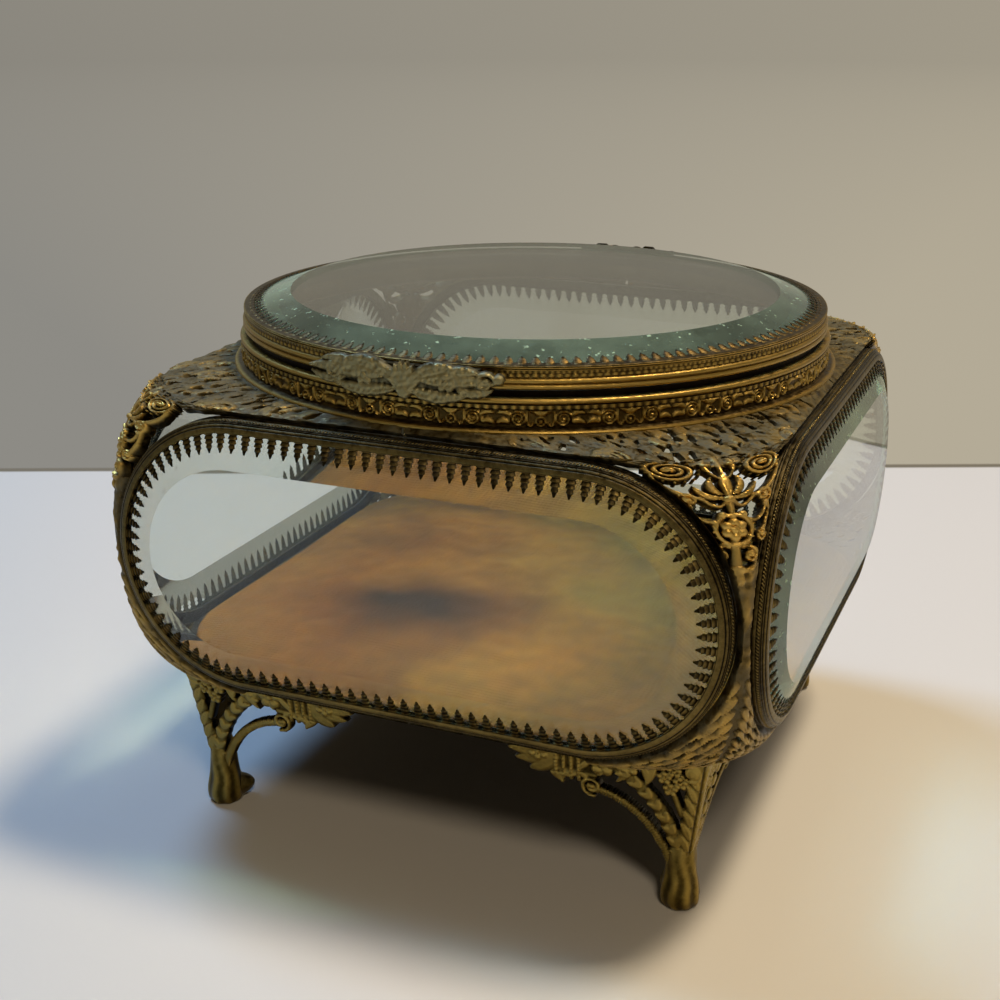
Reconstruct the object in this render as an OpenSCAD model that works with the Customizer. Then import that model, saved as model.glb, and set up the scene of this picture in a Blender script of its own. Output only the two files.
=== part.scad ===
// Glass casket box: four long oval bevelled panes in toothed bezels, joined by pierced corners on four legs,
// with a round bevelled lid that is hinged at the back. The front faces -Y, and the floor is at z = 0.

/* [Body] */
// Distance by which the panels stand out past the lid
panel_out = 6; // [3.2:0.1:12]
// Height of a panel over its bezel
panel_h = 58.2; // [52:0.2:64]
// Distance from the round end of a bezel to the face of the next panel
corner_gap = 5.1; // [2.6:0.1:7]
// Height of the legs, up to the underside of the body
leg_h = 36.1; // [32:0.1:44]
// Thickness of the pierced corner metal
corner_t = 1; // [0.8:0.1:1.4]
// Width of the lip that the corners turn in under the base plate
lip_w = 6; // [5:0.1:7]
// Rise of the corner metal from the panels up to the collar
shoulder_rise = 1; // [0.6:0.1:3]
// Thickness of the base plate
base_t = 0.8; // [0.6:0.1:1.2]

/* [Panels] */
// Depth of a bezel, from its face to the back of its lip
bezel_d = 4.6; // [4.2:0.1:6]
// Width of the rounded rim of a bezel
rim_w = 2.3; // [2:0.1:2.8]
// Thickness of the bezel wall round the pane
wall_t = 1.1; // [0.8:0.1:1.2]
// Thickness of the toothed strips and of the back lips
strip_t = 0.6; // [0.4:0.1:0.8]
// Length of a tooth, from the rim to its tip
tooth_len = 3.9; // [3:0.1:4.6]
// Spacing of the teeth along the rim
tooth_pitch = 2.9; // [2.6:0.1:3.6]
// Part of the spacing that a tooth fills at its root
tooth_fill = 0.82; // [0.6:0.01:0.9]
// Width of the bevel of a pane
pane_bevel_w = 8.2; // [6:0.1:9.4]
// Drop of the bevel from the flat of a pane to its edge
pane_bevel_d = 2.8; // [2.4:0.1:3.2]
// Height of a pane's flat over the face of its bezel
pane_proud = 1.6; // [1:0.1:2]
// Gap between a pane's edge and the bezel wall
pane_gap = 0.1; // [0.05:0.05:0.3]

/* [Collar] */
// Height of the collar
collar_h = 6.4; // [5:0.1:9]
// Distance from the lid's outer face in to the collar's inner face
collar_in = 1.4; // [1.1:0.1:2.2]
// Thickness of the collar band
collar_t = 2.2; // [1.6:0.1:2.4]
// Width by which the flange at the collar's foot stands out
flange_w = 1.4; // [0.8:0.1:1.8]
// Thickness of the seat ring inside the collar
seat_t = 1.3; // [1:0.1:2]
// Height of the seat ring
seat_h = 3.6; // [2.6:0.1:4.5]
// Gap between the seat ring and the lid above it
seat_gap = 0.3; // [0.2:0.1:0.5]

/* [Lid] */
// Outer radius of the lid band
lid_r = 64; // [56:0.5:76]
// Height of the lid band
lid_band_h = 4.6; // [4:0.1:6]
// Open gap between the collar and the lid band
lid_gap = 1.4; // [1.2:0.1:2]
// Height of the lid pane's flat above the band
lid_pane_proud = 2.6; // [2.2:0.1:3.2]
// Thickness of the lid pane at its middle
lid_pane_t = 5.5; // [5:0.1:5.8]
// Width of the lid pane's bevel
lid_bevel_w = 9.2; // [8:0.1:11]
// Drop of the lid pane's bevel
lid_bevel_d = 3.1; // [2.8:0.1:3.4]
// Number of teeth round the lid
lid_teeth = 136; // [110:1:140]
// Length of a lid tooth
lid_tooth_len = 3.6; // [3:0.1:4.4]

/* [Hinge] */
// Radius of the hinge pin
pin_r = 0.8; // [0.6:0.05:0.9]
// Outer radius of the hinge knuckles
knuckle_r = 1.7; // [1.5:0.05:1.8]
// Running clearance of the pin in the lid's knuckle
pin_clear = 0.05; // [0.02:0.01:0.1]
// Length of the middle knuckle
knuckle_mid_l = 9.8; // [8:0.1:12]
// Length of each outer knuckle
knuckle_end_l = 6.8; // [5:0.1:8]
// Gap between two knuckles
knuckle_gap = 0.25; // [0.15:0.05:0.4]
// Thickness of the hinge leaves and of the thumb piece
leaf_t = 0.8; // [0.6:0.1:1]
// Half width of the hinge leaves and of the thumb piece
leaf_half_w = 18.5; // [17.5:0.1:20]
// Radius of the rivets through leaves and bands
rivet_r = 0.7; // [0.5:0.05:0.8]

/* [Legs] */
// Distance from a panel's face in to a leg wing at its top
wing_in = 11.4; // [8.3:0.1:12]
// Length of a wing from the corner
wing_l = 40.1; // [36:0.1:43]
// Thickness of a leg wing
wing_t = 1.6; // [1.2:0.1:2.2]
// Inward lean of a wing
wing_lean = 8.2; // [5:0.1:10]
// Radius of the foot
foot_r = 4.6; // [4.2:0.1:5.6]
// Radius of the leg rivets
leg_rivet_r = 1; // [0.8:0.1:1.3]

/* [Lining] */
// Gap between the lining and the bezels
lining_gap = 0.9; // [0.5:0.1:2]
// Thickness of the board under the pad
board_t = 0.5; // [0.4:0.1:1]
// Height of the pad at its edge
pad_edge_h = 1.3; // [1:0.1:2]
// Height that the pad rises above its edge at the middle
pad_crown = 1; // [0.4:0.1:2]

/* [Hidden] */
$fn = 96;
brass = "#8a6f3c";
dark_brass = "#6b5530";
bright_brass = "#b08d4a";
clear_glass = "#bcd6cd";
silk = "#a8814f";
card = "#8d8675";

// Plan
panel_face = lid_r + panel_out;             // outer face of each panel
collar_ri = lid_r - collar_in;
wing_y = panel_face - wing_in;
wing_end = wing_y - wing_l;

// Heights
body_z = leg_h;                             // underside of the body
plate_z = body_z + corner_t;                // underside of the base plate
panel_mid = plate_z + panel_h / 2;
panel_top = plate_z + panel_h;
collar_z = panel_top + corner_t + shoulder_rise;
collar_top = collar_z + collar_h;
lid_z = collar_top + lid_gap;
lid_top = lid_z + lid_band_h;
lid_pane_z1 = lid_top + lid_pane_proud;
lid_pane_z0 = lid_pane_z1 - lid_pane_t;

// A panel's outline is a straight with a half circle at each end
panel_r = panel_h / 2;
panel_l = panel_face - corner_gap - panel_r; // half length of the straight
bezel_back_y = panel_face - bezel_d;
pane_r = panel_r - wall_t - pane_gap;
pane_slope = pane_bevel_d / pane_bevel_w;
tooth_gap = 0.03;                           // the teeth of panes and lid lie this far over the bevels
pane_back_v = -bezel_d + strip_t;
lip_cover = 2.6;                            // how far the back lip reaches in over the pane
arc_steps = 18;                             // flats of a corner round half a panel end
tangent = 1 / cos(90 / arc_steps);          // keeps those flats outside the true arc
sliver = 0.01;
mitre_gap = 0.04;                           // half gap between two panels where they meet at a corner

// Lining and base
lining_half = bezel_back_y - lining_gap;
lip_in = panel_face - lip_w;                // inner edge of the corner lips
plate_half = bezel_back_y - 0.1;

// Lid
lid_wall_t = 0.8;
lid_groove = 0.4;                           // depth of the plain wall behind the beads
lid_wall_r = lid_r - lid_groove;
lid_pane_r = lid_wall_r - lid_wall_t - pane_gap;
lid_flat_r = lid_pane_r - lid_bevel_w;
lid_slope = lid_bevel_d / lid_bevel_w;
lid_tooth_root = lid_pane_r - 0.1;
lid_tooth_tip = lid_tooth_root - lid_tooth_len;
lid_lip_t = 0.6;

// Hinge
knuckle_space = 0.5;
hinge_y = lid_r + knuckle_space + knuckle_r;
hinge_z = collar_top + lid_gap / 2;
leaf_r = collar_ri + collar_t;              // inner radius of the body leaf
hinge_len = knuckle_mid_l + 2 * knuckle_gap + 2 * knuckle_end_l;
sweep_clear = 0.3;                          // room between a leaf and the turning knuckles
rivet_head_r = 1.5;
rivet_head_t = 0.5;
rivet_x = leaf_half_w - 4.5;                // half spacing of a leaf's rivets
thumb_r0 = max(collar_ri + collar_t, lid_r) + 0.4; // the thumb piece passes in front of the collar
leaf_cut = 20;                              // half depth of the outline that cuts a leaf out of its band
thumb_low = collar_top - 1.2;
thumb_high = lid_top + 0.8;

// Places one of the four sides or corners, counted anticlockwise from the front or the front right
module side(i) rotate([0, 0, 90 * i]) children();

// Turns a panel drawn flat, with z outwards, to stand at the front
module on_panel(i) side(i) translate([0, -panel_face, panel_mid]) rotate([90, 0, 0]) children();

// Filled panel outline, drawn in by depth
module oval(depth) {
  r = panel_r - depth;
  for (s = [-1, 1]) translate([s * panel_l, 0]) circle(r);
  square([2 * panel_l, 2 * r], center = true);
}

// Carries a section round the panel outline; x of the section runs inwards from the outline
module oval_sweep() {
  for (a = [0, 180]) rotate(a) {
    translate([panel_l, 0, 0]) rotate([0, 0, -90]) rotate_extrude(angle = 180)
      translate([panel_r, 0]) mirror([1, 0]) children();
    translate([-panel_l, panel_r, 0]) rotate([90, 0, 90]) linear_extrude(2 * panel_l)
      mirror([1, 0]) children();
  }
}

// Point and inward direction at length s along the outline that lies depth inside the bezel
function oval_at(s, depth) =
  let (r = panel_r - depth, a = 2 * panel_l, b = PI * r)
  s < a ? [[s - panel_l, -r], [0, 1]]
  : s < a + b ? let (t = (s - a) / r * 180 / PI - 90) [[panel_l + r * cos(t), r * sin(t)], [-cos(t), -sin(t)]]
  : s < 2 * a + b ? [[panel_l - (s - a - b), r], [0, -1]]
  : let (t = (s - 2 * a - b) / r * 180 / PI + 90) [[-panel_l + r * cos(t), r * sin(t)], [-cos(t), -sin(t)]];

// A tooth as pairs of place across its root and depth
tooth_outline = [[-0.5, 0], [-0.4, 0.55], [0, 1], [0.4, 0.55], [0.5, 0]];

// Height of a pane's bevel at a depth inside the outline
function pane_bevel_v(depth) = pane_proud - pane_bevel_d + (depth - wall_t - pane_gap) * pane_slope;

// The open space inside the teeth of a panel
module panel_teeth_hole() {
  root = rim_w - 0.2;
  round_l = 4 * panel_l + 2 * PI * (panel_r - root);
  count = round(round_l / tooth_pitch);
  pitch = round_l / count;
  polygon([for (k = [0:count - 1], t = tooth_outline)
    let (at = oval_at(((k + 0.5) + t[0] * tooth_fill) * pitch, root)) at[0] + at[1] * (0.3 + t[1] * tooth_len)]);
}

// What a panel leaves to its two neighbours: everything past the mitres at its ends
module mitres(i) side(i) for (turn = [45, 135]) rotate(turn)
  translate([-mitre_gap, -2 * panel_face, panel_mid - panel_r - 1])
    cube([2 * panel_face, 4 * panel_face, panel_h + 2]);

// A bezel: wall and lip behind the pane, a rounded rim over its edge, and teeth that lie on its bevel
module panel_bezel(i) color(brass) difference() {
  on_panel(i) {
    oval_sweep() difference() {
      union() {
        translate([0, -bezel_d]) square([wall_t, bezel_d - rim_w]);
        translate([0, -bezel_d]) square([lip_cover, strip_t]);
        intersection() {
          translate([rim_w, -rim_w]) circle(rim_w);
          translate([0, -rim_w]) square(rim_w);
        }
      }
      over_bevel(wall_t, rim_w + 1, -rim_w - 1);
    }
    difference() {
      oval_sweep() over_bevel(wall_t, rim_w + tooth_len + 1, strip_t);
      translate([0, 0, -2 * bezel_d]) linear_extrude(4 * bezel_d) panel_teeth_hole();
    }
  }
  mitres(i);
}
// Section between the bevel's surface, with the gap of the teeth, and that surface moved out by rise
module over_bevel(d0, d1, rise) polygon([for (p = [[d0, 0], [d1, 0], [d1, rise], [d0, rise]])
  [p[0], pane_bevel_v(p[0]) + tooth_gap + p[1]]]);

module pane(i) color(clear_glass) difference() {
  on_panel(i) pane_glass();
  mitres(i);
}
module pane_glass() {
  edge_v = pane_proud - pane_bevel_d;
  flat_r = pane_r - pane_bevel_w;
  for (a = [0, 180]) rotate(a) translate([panel_l, 0, 0]) rotate([0, 0, -90]) rotate_extrude(angle = 180)
    polygon([[0, pane_back_v], [pane_r, pane_back_v], [pane_r, edge_v], [flat_r, pane_proud], [0, pane_proud]]);
  translate([-panel_l, 0, 0]) rotate([90, 0, 90]) linear_extrude(2 * panel_l)
    polygon([[-pane_r, pane_back_v], [pane_r, pane_back_v], [pane_r, edge_v], [flat_r, pane_proud],
      [-flat_r, pane_proud], [-pane_r, edge_v]]);
}

// Corner metal. Level k is 0 on its outer face and 1 on its inner face, a runs round the corner from the front
// panel (0) to the right one (90), and f runs up the round end of a panel (-90 to 90).
function corner_face(k) = panel_face - k * corner_t;
function corner_end_r(k) = panel_r + (1 - k) * corner_t;
function corner_arc(k, a, x, z) =
  [x + (corner_face(k) - x) * sin(a), -(x + (corner_face(k) - x) * cos(a)), z];
function corner_skirt(k, a, f) =
  let (round_r = corner_end_r(k) * (abs(f) == 90 ? 1 : tangent))
  corner_arc(k, a, panel_l + round_r * cos(f), panel_mid + round_r * sin(f));
skirt_f = [-90, for (n = [0:arc_steps - 1]) -90 + (n + 0.5) * 180 / arc_steps, 90];
skirt_a = [0:11.25:90];

// Joins an outer and an inner sheet of rows of points into a closed shell
module shell(outer, inner) {
  rows = len(outer);
  cols = len(outer[0]);
  n = rows * cols;
  function at(r, c, k) = k * n + r * cols + c;
  faces = [
    for (r = [0:rows - 2], c = [0:cols - 2], k = [0, 1])
      let (q = [at(r, c, k), at(r, c + 1, k), at(r + 1, c + 1, k), at(r + 1, c, k)])
      for (t = [[q[0], q[1], q[2]], [q[0], q[2], q[3]]]) k == 1 ? t : [t[2], t[1], t[0]],
    for (c = [0:cols - 2], e = [0, rows - 1])
      let (q = [at(e, c, 0), at(e, c, 1), at(e, c + 1, 1), at(e, c + 1, 0)])
      for (t = [[q[0], q[1], q[2]], [q[0], q[2], q[3]]]) e > 0 ? t : [t[2], t[1], t[0]],
    for (r = [0:rows - 2], e = [0, cols - 1])
      let (q = [at(r, e, 0), at(r + 1, e, 0), at(r + 1, e, 1), at(r, e, 1)])
      for (t = [[q[0], q[1], q[2]], [q[0], q[2], q[3]]]) e > 0 ? t : [t[2], t[1], t[0]]
  ];
  polyhedron([for (s = [outer, inner], row = s) each row], faces, convexity = 6);
}

// Outer edge of the top and bottom patches: a straight over each bezel and the round corner between them
strip_end = 0.6;                            // half gap between two corners in the middle of a side
function corner_edge(k, z) = [
  for (n = [0:5]) [strip_end + (panel_l - strip_end) * n / 6, -corner_face(k), z],
  for (a = skirt_a) corner_arc(k, a, panel_l, z),
  for (n = [5:-1:0]) [corner_face(k), -(strip_end + (panel_l - strip_end) * n / 6), z]
];
edge_n = len(corner_edge(0, 0));
patch_in_r = collar_ri + 0.6;
function ring_point(n, r, z) =
  let (a = asin(strip_end / r), t = a + (90 - 2 * a) * n / (edge_n - 1)) [r * sin(t), -r * cos(t), z];
foot_ring_r = (collar_ri + collar_t + flange_w + 0.2) * tangent;

// Rows of the top patch: the panel edge, a swell below the collar, the collar's foot and the inner edge
function top_rows(k) =
  let (edge = corner_edge(k, panel_top + (1 - k) * corner_t), z_in = collar_z - k * corner_t)
  [edge,
   [for (n = [0:edge_n - 1]) let (q = ring_point(n, foot_ring_r, 0), p = edge[n])
     [(p[0] + q[0]) / 2, (p[1] + q[1]) / 2, p[2] * 0.3 + z_in * 0.7]],
   [for (n = [0:edge_n - 1]) ring_point(n, foot_ring_r, z_in)],
   [for (n = [0:edge_n - 1]) ring_point(n, patch_in_r, z_in)]];

// Rows of the bottom lip
function lip_edge(z) = let (r = lip_in - panel_l) [
  for (n = [0:5]) [strip_end + (panel_l - strip_end) * n / 6, -lip_in, z],
  for (a = skirt_a) [panel_l + r * tangent * sin(a), -(panel_l + r * tangent * cos(a)), z],
  for (n = [5:-1:0]) [lip_in, -(strip_end + (panel_l - strip_end) * n / 6), z]
];
function lip_rows(k) = let (z = body_z + k * corner_t) [lip_edge(z), corner_edge(k, z)];

// Places something on the skirt at a round the corner and f up it, with z outwards
module on_skirt(a, f) {
  p = corner_skirt(0, a, f);
  du = corner_skirt(0, a + 1, f) - corner_skirt(0, a - 1, f);
  dv = corner_skirt(0, a, f + 1) - corner_skirt(0, a, f - 1);
  n = cross(du, dv) / norm(cross(du, dv));
  u = du / norm(du);
  v = cross(n, u);
  multmatrix([[u[0], v[0], n[0], p[0]], [u[1], v[1], n[1], p[1]], [u[2], v[2], n[2], p[2]]]) children();
}

// A scroll: a chain of beads that winds in round a centre bead
module volute(hand) {
  turns = 7;
  function winding(n) = let (t = n * 45, r = 2.7 - n * 0.22) [hand * r * cos(t), r * sin(t), 0.35];
  for (n = [0:turns - 1]) hull() for (m = [n, n + 1]) translate(winding(m)) sphere(r = 0.6, $fn = 6);
  translate([0, 0, 0.3]) sphere(r = 1, $fn = 8);
}

top_hole_r = [1.2, 1.45, 1.35];
hole_pitch = 5;
// Pierced holes of the top patch, in rows round the collar
module top_holes() {
  for (row = [0:2]) {
    ring = foot_ring_r + 2.4 + row * hole_pitch;
    step = hole_pitch / ring * 180 / PI;
    for (n = [-9:9]) {
      a = 45 + (n + (row % 2) * 0.5) * step;
      p = [ring * sin(a), -ring * cos(a)];
      room = top_hole_r[row] + 0.9;
      over = max(p[0], -p[1]) > panel_face - room;
      round_off = min(p[0], -p[1]) > panel_l
        && norm(p - [panel_l, -panel_l]) > panel_face - panel_l - room;
      if (!over && !round_off)
        translate([p[0], p[1], panel_top - 1]) rotate(a) cylinder(r = top_hole_r[row], h = 8, $fn = 6);
    }
  }
}

// Openings of the skirt: place round the corner, place up it, radius and stretch across
skirt_openings = [[45, 70, 2.2, 1.4], [14, 71, 1.7, 1.2], [76, 71, 1.7, 1.2], [36, 54, 1.6, 0.8], [54, 54, 1.6, 0.8],
  [16, 47, 1.5, 0.6], [74, 47, 1.5, 0.6]];

module corner_metal(i) color(dark_brass) side(i) {
  difference() {
    union() {
      shell([for (f = skirt_f) [for (a = skirt_a) corner_skirt(0, a, f)]],
        [for (f = skirt_f) [for (a = skirt_a) corner_skirt(1, a, f)]]);
      shell(top_rows(0), top_rows(1));
      shell(lip_rows(0), lip_rows(1));
    }
    top_holes();
    for (o = skirt_openings, up = [1, -1]) on_skirt(o[0], up * o[1])
      scale([o[3], 1, 1]) cylinder(r = o[2], h = 3.2 * corner_t, center = true, $fn = 6);
  }
  for (hand = [-1, 1]) on_skirt(45 + hand * 24, 59) volute(-hand);
  on_skirt(45, 36) {
    cylinder(r = 2.6, h = 0.8, $fn = 10);
    sphere(r = 1.3, $fn = 8);
  }
}

// Outline of one leg wing: x runs from the middle of the side to the corner, and y is the height
function lean(z) = wing_y - (leg_h - z) * tan(wing_lean);
knee = leg_h - 26.4;                        // height where the curves run into the stem
module ring_part(c, r0, r1, a0, a1) translate(c) intersection() {
  difference() { circle(r1); circle(r0); }
  polygon([[0, 0], for (n = [0:6]) let (a = a0 + (a1 - a0) * n / 6) 1.2 * r1 * [cos(a), sin(a)]]);
}
module wing_outline() {
  rail = 2.4;
  t0 = leg_h;
  corner_w = 2.8;
  ankle = 3;
  translate([wing_end, t0 - rail]) square([wing_y - wing_end, rail]);
  polygon([[lean(t0), t0], [lean(t0) - corner_w, t0], [lean(knee) - 3.4, knee], [lean(ankle) - 3.4, ankle],
    [lean(ankle), ankle]]);
  polygon([[lean(t0 - 15) - 2.6, t0 - 16], [wing_y - 9.4, t0 - 1], [wing_y - 6.6, t0 - 1],
    [lean(t0 - 15) - 0.6, t0 - 12]]);
  ring_part([wing_y - 27.6, knee], 22.4, 25, 0, 72);
  ring_part([wing_y - 21.1, knee], 13.4, 15.8, 0, 98);
  difference() {
    union() {
      translate([wing_end + 5, t0 - 5.8]) circle(5.2);
      for (p = [[1.2, -4.2, 2.4], [2.4, -8.4, 2.2], [6.2, -10.6, 2]])
        translate([wing_end + p[0], t0 + p[1]]) circle(p[2]);
    }
    for (a = [-20:40:100]) translate([wing_end + 5, t0 - 5.8] + 3.2 * [-sin(a), -cos(a)]) circle(0.55);
  }
  for (x = [9.4, 11.8]) translate([wing_end + x, t0 - 12.4]) square([1.6, 11.4]);
  translate([wing_end + 8, t0 - 12]) square([8.6, 1.4]);
  translate([wing_end + 8, t0 - 7.6]) square([10, 1.6]);
  difference() {
    translate([wing_end + 17, t0 - 11.8]) circle(2.5);
    translate([wing_end + 17, t0 - 11.8]) circle(0.9);
  }
  for (n = [0:4]) translate([wing_end + 19, t0 - 6] + 2.3 * [cos(72 * n + 18), sin(72 * n + 18)]) circle(1.75);
  translate([wing_end + 24.4, t0 - 5]) circle(2.4);
}
module wing() translate([0, -wing_y, leg_h]) rotate([90 + wing_lean, 0, 0]) translate([0, -leg_h, -wing_t])
  linear_extrude(wing_t) wing_outline();
foot_d = lean(foot_r * 0.7) - 0.6;
boss_c = lip_in - 16;
leg_rivet_at = [[boss_c + 3.4, -(boss_c - 3.4)], [boss_c - 3.4, -(boss_c + 3.4)]];
gusset_t = 1.2;
gusset_in = wing_y - 26.6;
module leg(i) color(brass) side(i) {
  difference() {
    union() {
      wing();
      mirror([1, 1, 0]) wing();
      translate([0, 0, leg_h - gusset_t]) linear_extrude(gusset_t)
        polygon([[gusset_in, -wing_y + 0.6], [wing_y - 2, -wing_y + 0.6], [wing_y - 0.6, -wing_y + 2],
          [wing_y - 0.6, -gusset_in]]);
      translate([boss_c, -boss_c, leg_h - gusset_t]) cylinder(r = 7, h = gusset_t + corner_t);
      translate([foot_d, -foot_d, foot_r * 0.7]) sphere(foot_r);
      translate([foot_d - 2.2, -foot_d + 2.2, 2.8]) rotate([90, 0, 45]) cylinder(r = 2.8, h = 5, center = true);
      translate([foot_d, -foot_d, foot_r]) cylinder(r1 = foot_r * 0.8, r2 = 2.2, h = knee - foot_r + 3);
    }
    translate([0, -panel_face * 2, leg_h]) difference() {
      cube([panel_face * 2, panel_face * 2, 5]);
      translate([boss_c, panel_face * 2 - boss_c, -1]) cylinder(r = 7, h = corner_t + 1);
    }
    translate([0, -panel_face * 2, -10]) cube([panel_face * 2, panel_face * 2, 10]);
    for (p = leg_rivet_at) translate([p[0], p[1], leg_h - 5]) cylinder(r = leg_rivet_r, h = 10);
  }
}
module leg_rivets() color(bright_brass) for (i = [0:3]) side(i) for (p = leg_rivet_at) translate([p[0], p[1], 0]) {
  translate([0, 0, leg_h - gusset_t]) cylinder(r = leg_rivet_r, h = gusset_t + corner_t + base_t);
  translate([0, 0, leg_h - gusset_t - 0.8]) cylinder(r1 = leg_rivet_r * 1.3, r2 = leg_rivet_r * 1.9, h = 0.8);
}

// Square with round corners
module round_square(half, r) {
  for (x = [-1, 1], y = [-1, 1]) translate([x, y] * (half - r)) circle(r);
  square([2 * half, 2 * (half - r)], center = true);
  square([2 * (half - r), 2 * half], center = true);
}
module base_plate() color(brass) difference() {
  translate([0, 0, plate_z]) linear_extrude(base_t) round_square(plate_half, plate_half - panel_l);
  for (i = [0:3], p = leg_rivet_at) side(i) translate([p[0], p[1], plate_z - 1]) cylinder(r = leg_rivet_r, h = base_t + 2);
}
module pad_board() color(card) translate([0, 0, plate_z + base_t]) linear_extrude(board_t)
  round_square(lining_half, lining_half - panel_l);

// The pad: a rounded square whose sides draw in between its corners, with a rolled edge and a crown
pad_cols = 48;
pad_rings = [[0.985, 0], [1, 0.45], [0.99, 0.85], [0.965, 1], [0.94, 0.9]];
pad_crowns = [0.88, 0.7, 0.45, 0.2];
function pad_reach(a) =
  let (m = max(abs(cos(a)), abs(sin(a))), n = min(abs(cos(a)), abs(sin(a))), h = lining_half, r = h - panel_l)
  h * n / m <= h - r ? h / m
  : let (c = (h - r) * (m + n)) c + sqrt(max(0, c * c - 2 * (h - r) * (h - r) + r * r));
function pad_point(n, f, z) =
  let (a = n * 360 / pad_cols, draw = 0.6 * pow(cos(2 * a), 2), r = pad_reach(a) * f - draw)
  [r * cos(a), r * sin(a), z];
module pad() color(silk) {
  z0 = plate_z + base_t + board_t;
  rings = concat(pad_rings, [for (f = pad_crowns) [f, 0.9 + (1 - pow(f, 3)) * pad_crown / pad_edge_h]]);
  count = len(rings);
  points = [for (g = rings, n = [0:pad_cols - 1]) pad_point(n, g[0], z0 + g[1] * pad_edge_h)];
  tip = len(points);
  faces = [
    [for (n = [0:pad_cols - 1]) n],
    for (g = [0:count - 2], n = [0:pad_cols - 1])
      let (m = (n + 1) % pad_cols, p = g * pad_cols)
      for (t = [[p + n, p + pad_cols + n, p + pad_cols + m], [p + n, p + pad_cols + m, p + m]]) t,
    for (n = [0:pad_cols - 1]) [(count - 1) * pad_cols + n, tip, (count - 1) * pad_cols + (n + 1) % pad_cols]
  ];
  polyhedron(concat(points, [[0, 0, z0 + 0.9 * pad_edge_h + pad_crown]]), faces);
}

// A flat ring by its radii and heights
module band(r0, r1, z0, z1) translate([0, 0, z0]) difference() {
  cylinder(r = r1, h = z1 - z0);
  translate([0, 0, -1]) cylinder(r = r0, h = z1 - z0 + 2);
}
module rivet_holes(z, r0, r1) for (s = [-1, 1]) radial(s, z, r0 - 1) cylinder(r = rivet_r, h = r1 - r0 + 2);
module body_rivet_holes() rivet_holes(body_rivet_z, collar_ri, leaf_r + leaf_t);
module lid_rivet_holes() rivet_holes(lid_rivet_z, lid_wall_r - lid_wall_t, thumb_r0 + leaf_t);
// Places something at a leaf rivet, with z outwards
module radial(s, z, r) rotate([0, 0, s * asin(rivet_x / lid_r)]) translate([0, r, z]) rotate([-90, 0, 0]) children();

body_rivet_z = collar_z + collar_h * 0.42;
lid_rivet_z = lid_z + lid_band_h * 0.55;
// The collar's section, with the foot flange, two raised lines and the polished top bead
module collar() color(brass) difference() {
  rotate_extrude() {
    r = collar_ri + collar_t;
    translate([collar_ri, collar_z]) square([collar_t - 0.3, collar_h - 0.3]);
    translate([collar_ri, collar_z]) square([collar_t + flange_w, 0.7]);
    translate([collar_ri, collar_z]) square([collar_t, 1.3]);
    translate([r - 0.55, collar_top - 0.55]) circle(0.55);
    for (z = [1.5, 2.1]) translate([r - 0.3, collar_top - z]) circle(0.28);
  }
  body_rivet_holes();
}
module seat_ring() color(dark_brass)
  band(collar_ri - seat_t, collar_ri, lid_z - seat_gap - seat_h, lid_z - seat_gap);

function lid_bevel_z(r) = lid_pane_z1 - (r - lid_flat_r) * lid_slope;
module lid_pane() color(clear_glass) rotate_extrude()
  polygon([[0, lid_pane_z0], [lid_pane_r, lid_pane_z0], [lid_pane_r, lid_pane_z1 - lid_bevel_d],
    [lid_flat_r, lid_pane_z1], [0, lid_pane_z1]]);

module lid_bezel() color(brass) {
  difference() {
    rotate_extrude() {
      translate([lid_wall_r - lid_wall_t, lid_z]) square([lid_wall_t, lid_band_h]);
      translate([lid_pane_r - 1.8, lid_pane_z0 - lid_lip_t]) square([2.2, lid_lip_t]);
      translate([lid_r - 0.6, lid_z + 0.6]) circle(0.6);
      translate([lid_r - 0.6, lid_z + 1.75]) circle(0.55);
      for (z = [0.35, 0.85]) translate([lid_wall_r, lid_top - z]) circle(0.2);
    }
    for (turn = [0, 180]) rotate(turn) lid_rivet_holes();
  }
  difference() {
    rotate_extrude() polygon([for (p = [[lid_wall_r - 0.2, 0], [lid_tooth_tip, 0], [lid_tooth_tip, strip_t],
      [lid_wall_r - 0.2, strip_t]]) [p[0], lid_bevel_z(p[0]) + tooth_gap + p[1]]]);
    translate([0, 0, lid_z]) linear_extrude(12) polygon([for (n = [0:lid_teeth - 1], t = tooth_outline)
      let (a = (n + 0.5 + t[0] * tooth_fill) * 360 / lid_teeth, r = lid_tooth_root - t[1] * (lid_tooth_len + 0.02))
      r * [cos(a), sin(a)]]);
  }
}

// Leafy outline of the thumb piece and of the lid leaf, as discs by place across, height and radius
module leafage(low, high) {
  mid = (low + high) / 2;
  w = leaf_half_w;
  for (s = [-1, 1]) {
    for (p = [[0.16, 0.62, 2.4], [0.34, 0.75, 2.1], [0.5, 0.5, 2.5], [0.68, 0.6, 2.2], [0.86, 0.5, 1.9]])
      translate([s * w * p[0], low + (high - low) * p[1]]) circle(p[2]);
  }
  for (s = [-1, 1]) translate([s * rivet_x, lid_rivet_z]) circle(rivet_head_r + 0.6);
  translate([0, mid]) circle(2.8);
  translate([0, mid]) square([2 * w * 0.86, 3], center = true);
}

module thumb_piece() color(brass) difference() {
  intersection() {
    union() {
      band(thumb_r0, thumb_r0 + leaf_t, thumb_low - 1, thumb_high + 1);
      band(lid_r - sliver, thumb_r0 + leaf_t, lid_z + 0.4, lid_top - 0.4);
    }
    translate([0, -lid_r + leaf_cut, 0]) rotate([90, 0, 0]) linear_extrude(2 * leaf_cut)
      leafage(thumb_low, thumb_high);
  }
  rotate(180) lid_rivet_holes();
}

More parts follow.
